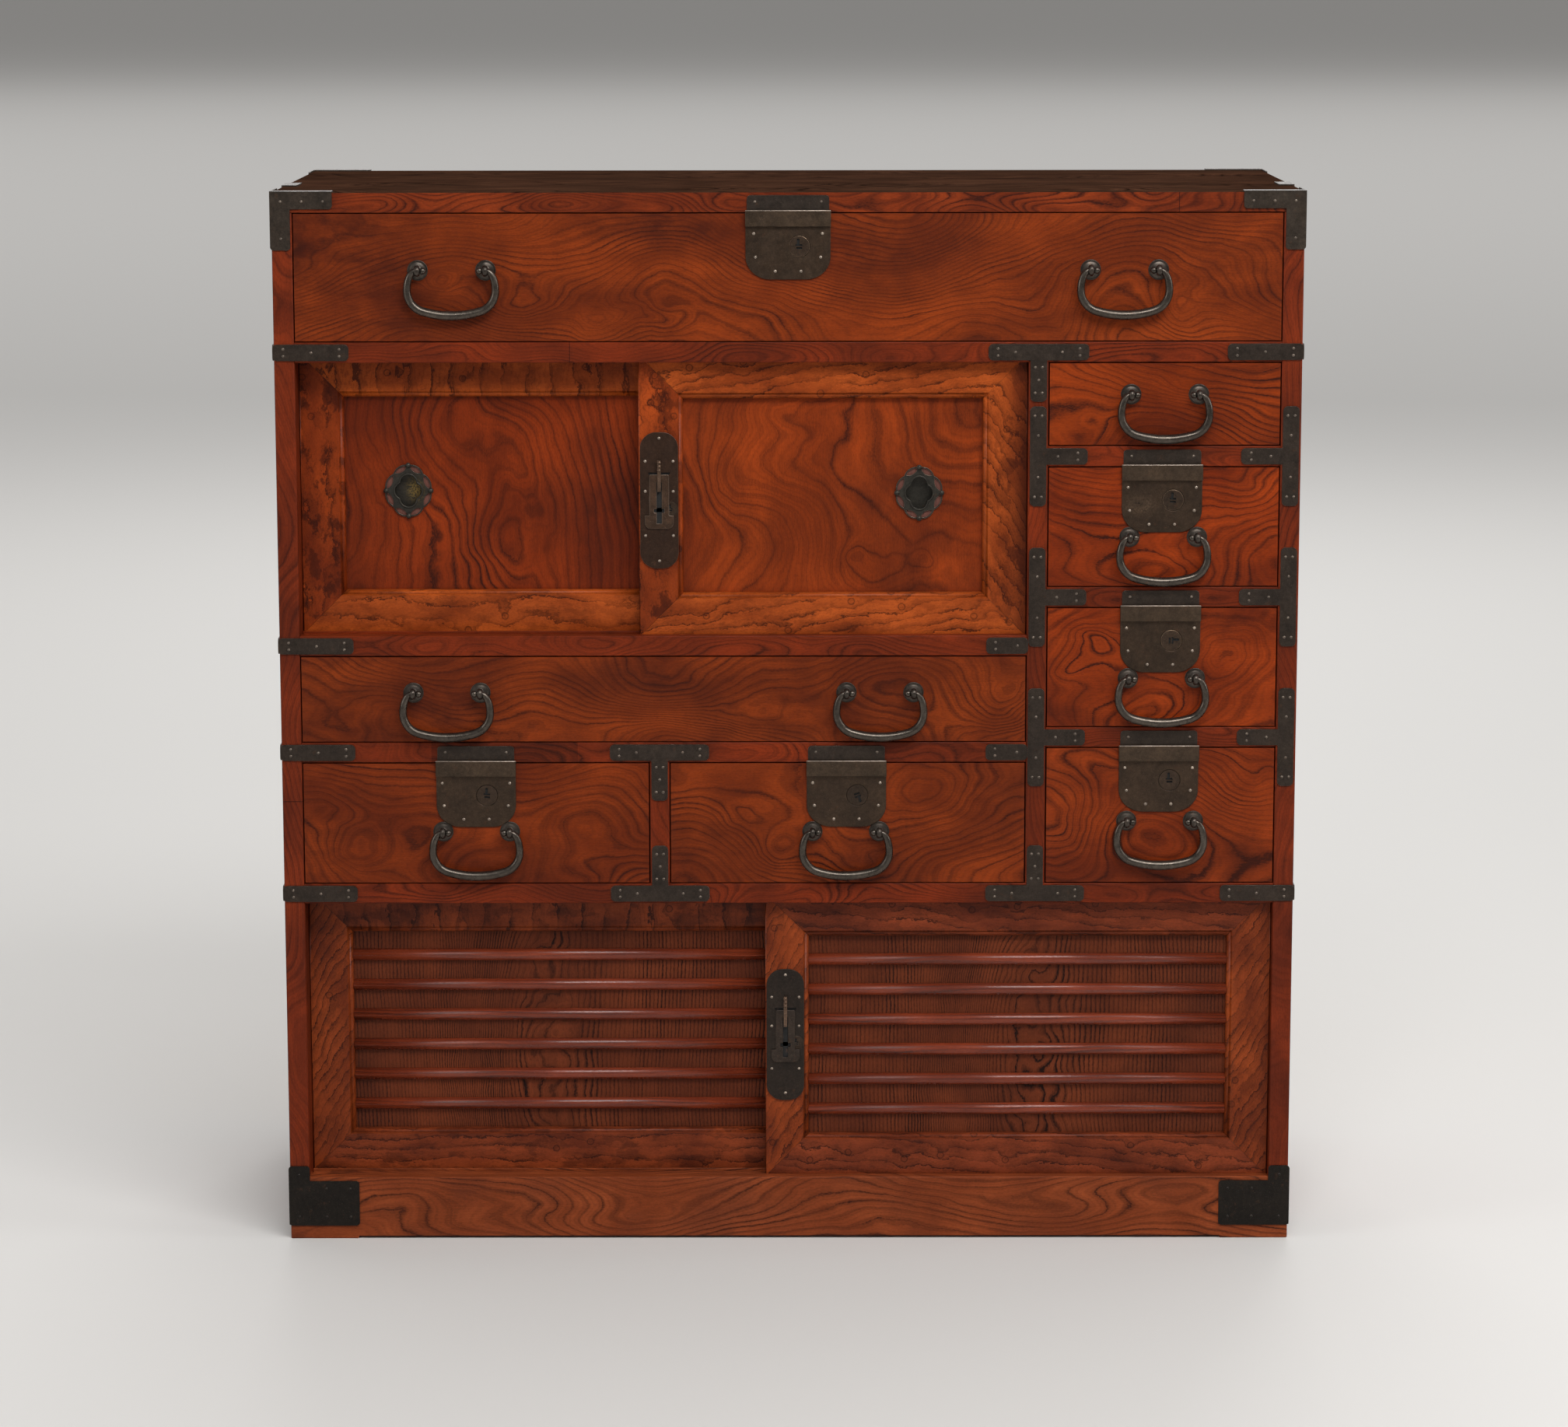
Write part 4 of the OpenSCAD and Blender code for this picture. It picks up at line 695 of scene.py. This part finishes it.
front_panel = keyaki("front_panel_keyaki", 36, side_axes, "z", ring=10, lie=0.4, hills=56,
                     hill=(230, 170), line=0.72,
                     figure=((8, 686, 52, 36, 6, 0), (10, 730, 40, 12, 3, 0),
                             (166, 719, 44, 46, 5, 0), (84, 590, 34, 26, 4, 0),
                             (-34, 664, 24, 30, 3, 0), (130, 598, 10, 8, 2, 0),
                             (74, 608, 8, 8, 2, 0)),
                     shades=((-88, 700, 22, 80, 0.5), (150, 580, 50, 30, 0.5),
                             (120, 680, 30, 60, 0.35), (10, 700, 50, 40, -0.4)),
                     light=(149, 59, 17), body=(115, 43, 12))
shade_panel = keyaki("shaded_panel_keyaki", 37, side_axes, "z", ring=3.4, lie=1.0, hills=9,
                     wave=1.5, ragged=0.4, line=1.2, clouds=0.3,
                     figure=((-205, 160, 46, 170, 8, 0), (200, 150, 46, 170, 8, 0)),
                     light=(112, 52, 27), body=(88, 39, 20), dark=(28, 12, 7),
                     cloud=(52, 23, 13), rough=0.5)
slat_keyaki = keyaki("slat_keyaki", 38, front_axes, ring=4.6, lie=1.0, hills=12, wave=2.5,
                     ragged=0.6, light=(136, 58, 33), body=(106, 43, 25), dark=(56, 22, 14),
                     cloud=(76, 31, 19), line=0.8, rough=0.2, coat=0.2, shine=0.3)

door_woods = dict(
    upper_rear_door=(rear_level, rear_upright, rear_panel),
    upper_front_door=(front_level, front_upright, front_panel),
    lower_rear_door=(lower_rear, lower_upright, shade_panel),
    lower_front_door=(lower_level, lower_upright, shade_panel))
for door, (level_wood, upright_wood, panel_wood) in door_woods.items():
    opening = upper_opening if door.startswith("upper") else lower_opening
    side = -1 if "rear" in door else 1
    show(frame_members(opening, side, False), door + "_level_members", door,
         [level_wood], (door,))
    bm = frame_members(opening, side, True)
    for face in bm.faces:
        if door == "upper_front_door" and face.calc_center_median().x < 0:
            face.material_index = 1
    show(bm, door + "_upright_members", door, [upright_wood, latch_stile])
    if opening == lower_opening:
        show(panel_board(opening, side), door + "_panel", door, [panel_wood])
        show(slats(opening, side), door + "_slats", door, [slat_keyaki])
    else:
        corner, (width, height) = door_corner(opening, side), door_size(opening)
        inset = member_w + 0.4
        eased(door, door + "_panel", door, [panel_wood], 0,
              keep=lambda p: corner.x + inset < p.x < corner.x + width - inset
              and corner.z + inset < p.z < corner.z + height - inset
              and panel_set - 0.05 < p.y - corner.y < panel_set + panel_t + 0.05)


# ---- the case irons ----------------------------------------------------------------
# Corners, straps and tees cut from thin sheet iron, blackened, and lighter along their edges,
# partly rubbed bright by handling and partly a painted highlight. They lie on the boards and
# wrap round them, and round headed nails hold them.
def forged_iron(name, seed, tint=(53, 44, 37), worn=(104, 91, 78), spots=0.3, rough=0.42,
                metallic=0.7, patches=(), dents=0.25):
    """Blackened iron: an uneven oxide with a fine grain, a few rust brown specks and a worn
    sheen. patches are the places, sizes and colours of spots that are rubbed or rusted."""
    iron = Finish(name, rough, metallic=metallic)
    put, times, mix, ramp = iron.put, iron.times, iron.mix, iron.ramp
    place = iron.place()

    def noise(size, detail=2.0, rough=0.55):
        scaled = put("Mapping", place, (seed * 7.0, 0, 0), None, (1 / size, 1 / size, 1 / size))
        return put("TexNoise", scaled, None, 1.0, detail, rough)

    patina = ramp(noise(24, 4), (0.3, 0), (0.7, 1))
    colour = mix(patina, srgb(*[c * 0.86 for c in tint]), srgb(*[c * 1.12 for c in tint]))
    colour = iron.shaded(colour, put("MapRange", noise(3.2, 5, 0.75), 0.32, 0.68, 0.66, 1.3))
    specks = ramp(noise(1.1, 2), (0.62, 0), (0.7, 1))
    colour = mix(times(specks, spots), colour, srgb(*worn))
    rust = ramp(noise(6, 5, 0.7), (0.6, 0), (0.74, 0.45))
    colour = mix(rust, colour, srgb(92, 60, 40))
    for at, size, shade in patches:
        broken = put("MapRange", noise(1.6, 3), 0.42, 0.56, 0.1, 1.0)
        spot = times(iron.fading(place, at, size, flat=False), broken)
        colour = mix(spot, colour, srgb(*shade))
    gloss = put("MapRange", noise(8, 3), 0.3, 0.7, rough - 0.06, rough + 0.1)
    return iron.finished(colour, noise(1.8, 3, 0.6), dents, gloss)


strap_iron = forged_iron("strap_iron", 1)
corner_iron = forged_iron("corner_iron", 2, tint=(59, 50, 42))
foot_iron = forged_iron("foot_iron", 14, tint=(30, 25, 20), worn=(84, 76, 66))
# Light iron for rounded edges: partly rubbed bright by handling, partly a painted highlight.
edge_wear_and_highlight = forged_iron("edge_wear_and_highlight", 3, tint=(150, 136, 124), worn=(186, 174, 162), rough=0.3,
                        metallic=0.6)
# Lighter irons for the rounded rims of pulls, latches and key discs: partly wear, partly a painted
# highlight.
rim_iron = forged_iron("rim_iron", 17, tint=(104, 88, 75), worn=(140, 124, 108), rough=0.34)
ring_iron = forged_iron("ring_iron", 19, tint=(150, 124, 100), worn=(176, 156, 134), rough=0.3)
# Nail heads are lighter than the iron they hold: worn bright, and a painted glint on their domes. The
# feet's nails stay dark.
nail_iron = forged_iron("nail_iron", 4, tint=(104, 93, 83), worn=(140, 130, 118), rough=0.3,
                        metallic=0.8)
foot_nail = forged_iron("foot_nail", 20, tint=(44, 39, 34), worn=(80, 73, 66), rough=0.4)
bright_nail = forged_iron("bright_nail", 21, tint=(150, 136, 122), worn=(178, 166, 152),
                          rough=0.26, metallic=0.7)
foot_high = 90  # the irons below it are the feet's, darker than the rest
eased("corner_irons", "corner_plates", "case", [corner_iron, edge_wear_and_highlight, foot_iron], 0.6,
      rim=1, choose=lambda place, face: 2 if place.z < foot_high and not face.material_index else None)
eased("joint_irons", "straps_and_tees", "case", [strap_iron, edge_wear_and_highlight], 0.55, rim=1)
eased("case_nails", "iron_nails", "case", [nail_iron, foot_nail], 0,
      choose=lambda place, face: 1 if place.z < foot_high else 0)


# ---- handles and their posts -------------------------------------------------------
# Ten drop handles, forged from round bar, thickest along the grip. Each ends in two inward pins
# with ball heads, which turn in round eyes on posts driven through a domed washer and the board.
post_at = 29
eye_half = 2.4
eye_out = 8


def handle_path():
    """Points of the bar from one ball end to the middle of the grip: x, z and radius."""
    half, drop, sag, ball = 37.7, 38.2, 84.0, 3.0
    sag_angle = math.radians(17)
    sweep = math.pi / 2 - sag_angle
    corner = (half - sag * math.sin(sag_angle)) / (1 - math.cos(sweep))
    corner_z = sag - drop - sag * math.cos(sag_angle) + corner * math.sin(sweep)
    middle = post_at - eye_half - ball * 0.8
    path = [(middle - ball * math.cos(a), 0.0, max(0.05, ball * math.sin(a)))
            for a in (math.pi * k / 12 for k in range(0, 10))]
    path += [(middle + ball * 0.9, 0, 2.0), (post_at + 1.0, 0, 2.0)]
    hook = 7.6
    for k in range(1, 15):
        a = math.pi / 2 * k / 14
        path.append((half - hook + hook * math.sin(a), corner_z * (1 - math.cos(a)),
                     2.15 + 1.15 * math.sin(a)))
    for k in range(1, 15):
        a = -sweep * k / 14
        path.append((half - corner + corner * math.cos(a), corner_z + corner * math.sin(a),
                     3.3 + 0.5 * k / 14))
    for k in range(1, 9):
        a = sag_angle * (1 - k / 8)
        path.append((sag * math.sin(a), sag - drop - sag * math.cos(a), 3.8 + 0.35 * k / 8))
    return path


def round_bar(points, thick=1.0, fine=7, closed=False):
    """A mesh of a round bar through points of x, y, z and radius, the radius taken thick times."""
    curve = bpy.data.curves.new("bar", "CURVE")
    curve.dimensions = "3D"
    curve.bevel_depth = thick
    curve.bevel_resolution = fine
    curve.use_fill_caps = not closed
    line = curve.splines.new("POLY")
    line.points.add(len(points) - 1)
    line.use_cyclic_u = closed
    for point, (x, y, z, radius) in zip(line.points, points):
        point.co = (x, y, z, 1)
        point.radius = radius
    drawn = bpy.data.objects.new("bar", curve)
    scene.collection.objects.link(drawn)
    bpy.context.view_layer.update()
    bm = bmesh.new()
    bm.from_mesh(bpy.data.meshes.new_from_object(
        drawn.evaluated_get(bpy.context.evaluated_depsgraph_get())))
    bpy.data.objects.remove(drawn)
    return bm


def handle(x, z):
    """The bar of a handle, hung from the middle between its posts."""
    half = handle_path()
    whole = half + [(-px, pz, r) for px, pz, r in reversed(half[:-1])]
    bm = round_bar([(x + px, -eye_out, z + pz, r) for px, pz, r in whole])
    bmesh.ops.remove_doubles(bm, verts=bm.verts, dist=0.02)
    for face in bm.faces:
        face.smooth = True
    return bm


def turned(bm, profile, centre, axis, steps=32):
    """Turns a profile of (along the axis, radius) points about an axis through centre."""
    axis = Vector(axis)
    side = axis.orthogonal().normalized()
    line = [bm.verts.new(centre + axis * along + side * radius) for along, radius in profile]
    edges = [bm.edges.new(pair) for pair in zip(line, line[1:])]
    bmesh.ops.spin(bm, geom=line + edges, cent=centre, axis=axis, angle=2 * math.pi,
                   steps=steps, use_merge=True, use_duplicate=False)


def posts(x, z):
    """The two posts of a handle: a domed washer with a thin raised rim, a neck and a round eye."""
    bm = bmesh.new()
    for side in (-1, 1):
        at = Vector((x + side * post_at, 0, z))
        turned(bm, [(0, 8.8), (0.7, 8.8), (0.95, 8.55), (0.95, 8.2), (0.75, 7.95), (1.5, 6.4),
                    (2.15, 4.4), (2.5, 2.4), (3.4, 2.1), (4.6, 2.2)], at, (0, -1, 0))
        eye = [(-eye_half, 2.12), (-eye_half, 3.3), (-0.8 * eye_half, 4.1), (-1.0, 4.7), (0, 4.85),
               (1.0, 4.7), (0.8 * eye_half, 4.1), (eye_half, 3.3), (eye_half, 2.12),
               (-eye_half, 2.12)]
        turned(bm, eye, at + Vector((0, -eye_out, 0)), (1, 0, 0), 36)
    bmesh.ops.remove_doubles(bm, verts=bm.verts, dist=0.01)
    for face in bm.faces:
        face.smooth = True
    return bm


handle_iron = forged_iron("handle_iron", 5, tint=(80, 73, 66), worn=(124, 115, 106), rough=0.28,
                          metallic=0.9, spots=0.15, dents=0.12)
post_iron = forged_iron("post_iron", 6, tint=(70, 63, 57), worn=(110, 101, 92), rough=0.32,
                        metallic=0.85, spots=0.15, dents=0.12)
handles = dict(
    top_handle_left=("top_drawer", -287, 854), top_handle_right=("top_drawer", 287, 854),
    wide_handle_left=("wide_drawer", -295.75, 489), wide_handle_right=("wide_drawer", 79.25, 489),
    left_handle=("left_drawer", -271.5, 366.5), right_handle=("right_drawer", 49.75, 366.5),
    column_handle_1=("column_drawer_1", 322.75, 747.5),
    column_handle_2=("column_drawer_2", 322.75, 624.3),
    column_handle_3=("column_drawer_3", 322.75, 501.2),
    column_handle_4=("column_drawer_4", 322.75, 375.5))
for name, (drawer, x, z) in handles.items():
    show(handle(x, z), name + "_bail", name, [handle_iron], (name,))
    show(posts(x, z), name + "_posts", drawer, [post_iron])
for drawer in drawer_figures:
    eased(drawer + "_irons", drawer + "_inner_irons", drawer, [post_iron], 0, behind=0.05)


# ---- locks -------------------------------------------------------------------------
# Each lock is an iron plate with a raised band along its top, nailed to the drawer front. It
# shows a disc, which the key turns through a quarter. A pin behind the disc lifts a flat bolt
# out of the drawer into the rail above.
lock_iron = forged_iron("lock_iron", 7, tint=(60, 46, 34), worn=(102, 84, 66), rough=0.4,
                        patches=(((302, -1.4, 652), (9, 3, 6), (122, 98, 76)),
                                 ((301, -1.4, 653), (8, 3, 5), (34, 26, 20))))
band_iron = forged_iron("band_iron", 15, tint=(69, 55, 42), worn=(112, 94, 76), rough=0.38)
disc_iron = forged_iron("disc_iron", 8, tint=(62, 48, 37), worn=(112, 96, 80), rough=0.36)
# Near black for the inside of keyholes and slots: painted shade in the hollows.
painted_hole_shade = forged_iron("painted_hole_shade", 9, tint=(9, 8, 7), worn=(16, 14, 12), rough=0.7, metallic=0.0)
locks = dict(top_drawer=(0, 903, 72.5), left_drawer=(-271.5, 427.5, 69),
             right_drawer=(50.25, 427.5, 69), column_drawer_2=(321.25, 685.3, 69),
             column_drawer_3=(321.25, 563.2, 69), column_drawer_4=(321.25, 440.5, 69))
plate_t = 1.4
plate_top = -1.5
hole_r = 9.35
band_back = -1.5
band_t, band_h, band_mid = 3.3, 14, (0, -2.95, -5)
lock_nails = ((29.3, 18), (27.8, 38), (11, 50))
disc_at = Vector((9.5, 0, -29))


def lock_front(wide):
    """The plate with its round hole, the band and the nails, about the top of its opening."""
    bm = bmesh.new()
    half, foot, corner_x, corner_z = wide / 2, -57, 21, 19.5
    outline = [(-half, plate_top)]
    for side in (-1, 1):
        sweep = [math.pi / 2 * k / 12 for k in range(13)]
        arc = [(side * (half - corner_x + corner_x * math.cos(a)),
                foot + corner_z - corner_z * math.sin(a)) for a in sweep]
        outline += arc if side < 0 else arc[::-1]
    outline.append((half, plate_top))
    hole = [(disc_at.x + hole_r * math.cos(2 * math.pi * k / 40),
             disc_at.z + hole_r * math.sin(2 * math.pi * k / 40)) for k in range(40)]
    edges = []
    for points in (outline, hole):
        corners = [bm.verts.new((x, -plate_t, z)) for x, z in points]
        edges += [bm.edges.new(pair) for pair in zip(corners, corners[1:] + corners[:1])]
    bmesh.ops.triangle_fill(bm, use_beauty=True, edges=edges)
    rims = [e for e in bm.edges if len(e.link_faces) == 1]
    pushed(bm, bm.faces[:], (0, plate_t, 0), keep=True)
    bmesh.ops.recalc_face_normals(bm, faces=bm.faces)
    round_off(bm, rims, 0.5)
    band = bmesh.ops.create_cube(bm, size=1, matrix=Matrix.Translation(band_mid)
                                 @ Matrix.Diagonal((wide + 0.6, band_t, band_h, 1)))["verts"]
    round_off(bm, list({e for v in band for e in v.link_edges}), 0.6)
    bm.normal_update()
    # Of the rounded edges only the band's upward facing ones keep the light edge iron, a painted
    # highlight where the light from above falls.
    for face in bm.faces:
        on_band = face.calc_center_median().y < band_back
        if face.material_index and not (on_band and face.normal.z > 0.2):
            face.material_index = 0
        if face.material_index == 0 and on_band:
            face.material_index = 2
    for x, z in lock_nails:
        for side in (-1, 1):
            dome(bm, (side * x, -plate_t, -z), 1.4, (1, 0.7, 1), finish=3)
    return bm


key_discs = {"top_key_disc": "top_drawer", "left_key_disc": "left_drawer",
             "right_key_disc": "right_drawer"}
key_discs.update({f"column_key_disc_{n}": f"column_drawer_{n}" for n in (2, 3, 4)})
for disc, drawer in key_discs.items():
    x, top, wide = locks[drawer]
    bm = lock_front(wide)
    bmesh.ops.translate(bm, verts=bm.verts, vec=(x, 0, top))
    show(bm, drawer + "_lock_plate", drawer, [lock_iron, edge_wear_and_highlight, band_iron, bright_nail])
    # The faces behind the disc's front, seen through its keyhole, are painted near black as shade in
    # the hole.
    eased(disc, disc.replace("key", "lock") + "_face", disc,
          [disc_iron, ring_iron, painted_hole_shade], 0.4, rim=1,
          choose=lambda place, face: 2 if place.y > -1.05 else None,
          outer=lambda p, x=x + disc_at.x, z=top + disc_at.z: math.hypot(p.x - x, p.z - z) > 8)
    bolt = disc.replace("key_disc", "lock_bolt")
    eased(bolt, bolt + "_plate", bolt, [disc_iron], 0.2)


# ---- finger pulls ------------------------------------------------------------------
# Each upper door has a cast pull let into its panel: a lobed cup with a raised lip, in an
# openwork rim of eight lenses with four bosses. The rear one has brass coloured wear in its cup.
pull_in, pull_up = 92.5, 2


def openwork():
    """The eight lenses of a pull's rim, as outlines round its middle."""
    quarter = ((0, 22), (12.6, 14.4), (19.3, 0))
    for sx in (-1, 1):
        for sz in (-1, 1):
            for a, b in zip(quarter, quarter[1:]):
                one, two = Vector((sx * a[0], sz * a[1])), Vector((sx * b[0], sz * b[1]))
                way = (two - one).normalized()
                half = (two - one).length / 2 - 1.2
                yield [(one + two) / 2 + way * half * t * -bend
                       + way.orthogonal() * 2.7 * bend * (1 - t * t)
                       for bend in (-1, 1) for t in (k / 6 - 1 for k in range(12))]


def pull_trim(opening, side):
    """The rounded lip round the cup, the four domed bosses, and the openwork's sheets of dust and
    painted shade.
    """
    width, height = door_size(opening)
    at = door_corner(opening, side) + Vector(
        (pull_in if side < 0 else width - pull_in, panel_set, height / 2 + pull_up))
    lobes = (Vector((0, 7)), Vector((0, -7)), Vector((4.8, 0)), Vector((-4.8, 0)))
    lobe_r, rays = 7.5, 96
    lip = []
    for k in range(rays):
        ray = Vector((math.cos(2 * math.pi * k / rays), math.sin(2 * math.pi * k / rays)))
        reach = 0
        for lobe in lobes:
            along = ray.dot(lobe)
            inside = along * along - lobe.dot(lobe) + lobe_r ** 2
            if inside > 0:
                reach = max(reach, along + math.sqrt(inside))
        lip.append((at.x + ray.x * reach, at.y - 1.7, at.z + ray.y * reach, 1))
    bm = round_bar(lip, 0.85, 3, closed=True)
    for face in bm.faces:
        face.smooth = True
    for x, z in ((0, 22), (0, -22), (19.3, 0), (-19.3, 0)):
        dome(bm, at + Vector((x, -1.35, z)), 2.35, around=20, over=12)
    # The sheets in the lenses are dull brown: dust, and painted shade of the hollow behind the
    # openwork.
    for outline in openwork():
        leaf = bm.faces.new([bm.verts.new((at.x + q.x, at.y - 0.15, at.z + q.y))
                             for q in outline])
        moved = pushed(bm, [leaf], (0, 0.1, 0))
        near = {w for v in moved for e in v.link_edges for w in e.verts}
        for face in {f for v in near for f in v.link_faces}:
            face.material_index = 1
            face.smooth = False
    return bm


pull_iron = forged_iron("pull_iron", 10, tint=(52, 49, 43), worn=(84, 79, 70), rough=0.4,
                        spots=0.15)
rear_pull_iron = forged_iron("rear_pull_iron", 11, tint=(50, 47, 42), worn=(84, 79, 70), rough=0.4,
                             spots=0.15, patches=(((-324, 40, 661), (6, 9, 8), (150, 122, 62)),))
# Dull brown for the openwork's sheets: dust, and painted shade where the recessed wood lies in shadow.
pull_dust_and_shade = bare_wood("pull_dust_and_shade", 16, side_axes, "z", light=(108, 60, 46), body=(90, 46, 35),
                      dark=(60, 30, 22))
eased("upper_rear_pull", "rear_finger_pull", "upper_rear_door",
      [rear_pull_iron, rim_iron], 0.35, rim=1)
show(pull_trim(upper_opening, -1), "rear_pull_trim", "upper_rear_door",
     [pull_iron, pull_dust_and_shade])
eased("upper_front_door_irons", "front_finger_pull", "upper_front_door",
      [pull_iron, rim_iron], 0.35, rim=1, keep=lambda place: place.x > 60)
show(pull_trim(upper_opening, 1), "front_pull_trim", "upper_front_door",
     [pull_iron, pull_dust_and_shade])


# ---- latches -----------------------------------------------------------------------
# On the leading stile of each front door a round ended plate carries a slotted hasp, which
# slides up behind a ridged staple and is held by a small key disc. Dark sheets behind its slots
# are painted shade for the hollow behind them.
latch_iron = forged_iron("latch_iron", 12, tint=(54, 36, 25), worn=(96, 74, 58), rough=0.4)
hasp_iron = forged_iron("hasp_iron", 13, tint=(72, 53, 40), worn=(116, 92, 74), rough=0.36,
                        spots=0.4)
lower_latch_iron = forged_iron("lower_latch_iron", 22, tint=(44, 36, 30), worn=(84, 74, 64),
                               rough=0.4)
lower_hasp_iron = forged_iron("lower_hasp_iron", 23, tint=(56, 46, 39), worn=(98, 86, 74),
                              rough=0.38, spots=0.4)
staple_iron = forged_iron("staple_iron", 18, tint=(96, 76, 62), worn=(150, 130, 112), rough=0.3,
                          spots=0.4, metallic=0.8)
plate_half, plate_straight, nail_r = 16.3, 45, 2.3
latch_at = dict(upper=(-111.25, 655.05), lower=(-3.0, 182.05))
latch_nails = ((0, 54), (-12, 34), (12, 34), (-12, 8), (12, 8), (-12, -30.5), (12, -30.5),
               (0, -52.5))


def dark_slots(x, z):
    """Thin black sheets behind the slots of the plate, hasp and disc, painted shade for the hollow
    behind them, and the three ridges that are filed into the head of the staple."""
    bm = bmesh.new()
    for k in range(3):
        dome(bm, (x, front_set - 4.7, z + 33.2 - 3.4 * k), 1.0, (1.75, 0.75, 1.15), finish=1)
    for left, low, wide, high, near in ((-9.5, 22.2, 19, 2.4, -0.3), (-2.4, -21, 4.8, 38, -1.58),
                                        (-5, -10, 10, 3.6, -1.58), (5.6, -11.5, 8, 8, -0.3)):
        block(bm, Vector((x + left, front_set + near, z + low)), Vector((wide, 0.12, high)))
    return bm


for pair, (x, z) in latch_at.items():
    door = pair + "_front_door"
    plate, slide = ((latch_iron, hasp_iron) if pair == "upper"
                    else (lower_latch_iron, lower_hasp_iron))

    def metal(place, face, x=x, z=z):
        """Latch plate, staple or nail, whichever a face belongs to."""
        if place.y < front_set - 1.45 and any(
                math.hypot(place.x - x - nx, place.z - z - nz) < nail_r for nx, nz in latch_nails):
            return 3
        return 2 if place.y < front_set - 1.6 else None
    eased(door + "_irons", pair + "_latch_plate", door,
          [plate, rim_iron, staple_iron, bright_nail], 0.45, rim=1, choose=metal,
          keep=lambda place: place.x < 60,
          outer=lambda p, x=x, z=z: abs(p.x - x) > plate_half or abs(p.z - z) > plate_straight)
    show(dark_slots(x, z), pair + "_latch_slot_shade", door, [painted_hole_shade, staple_iron])
    eased(pair + "_hasp", pair + "_sliding_hasp", pair + "_hasp",
          [slide, rim_iron if pair == "upper" else slide], 0.3, rim=1)
    # The faces behind the small disc's front are painted near black as shade in its slot.
    eased(pair + "_latch_disc", pair + "_small_disc", pair + "_latch_disc",
          [disc_iron, rim_iron, painted_hole_shade], 0.25, rim=1,
          choose=lambda place, face: 2 if place.y > front_set - 1.0 else None)
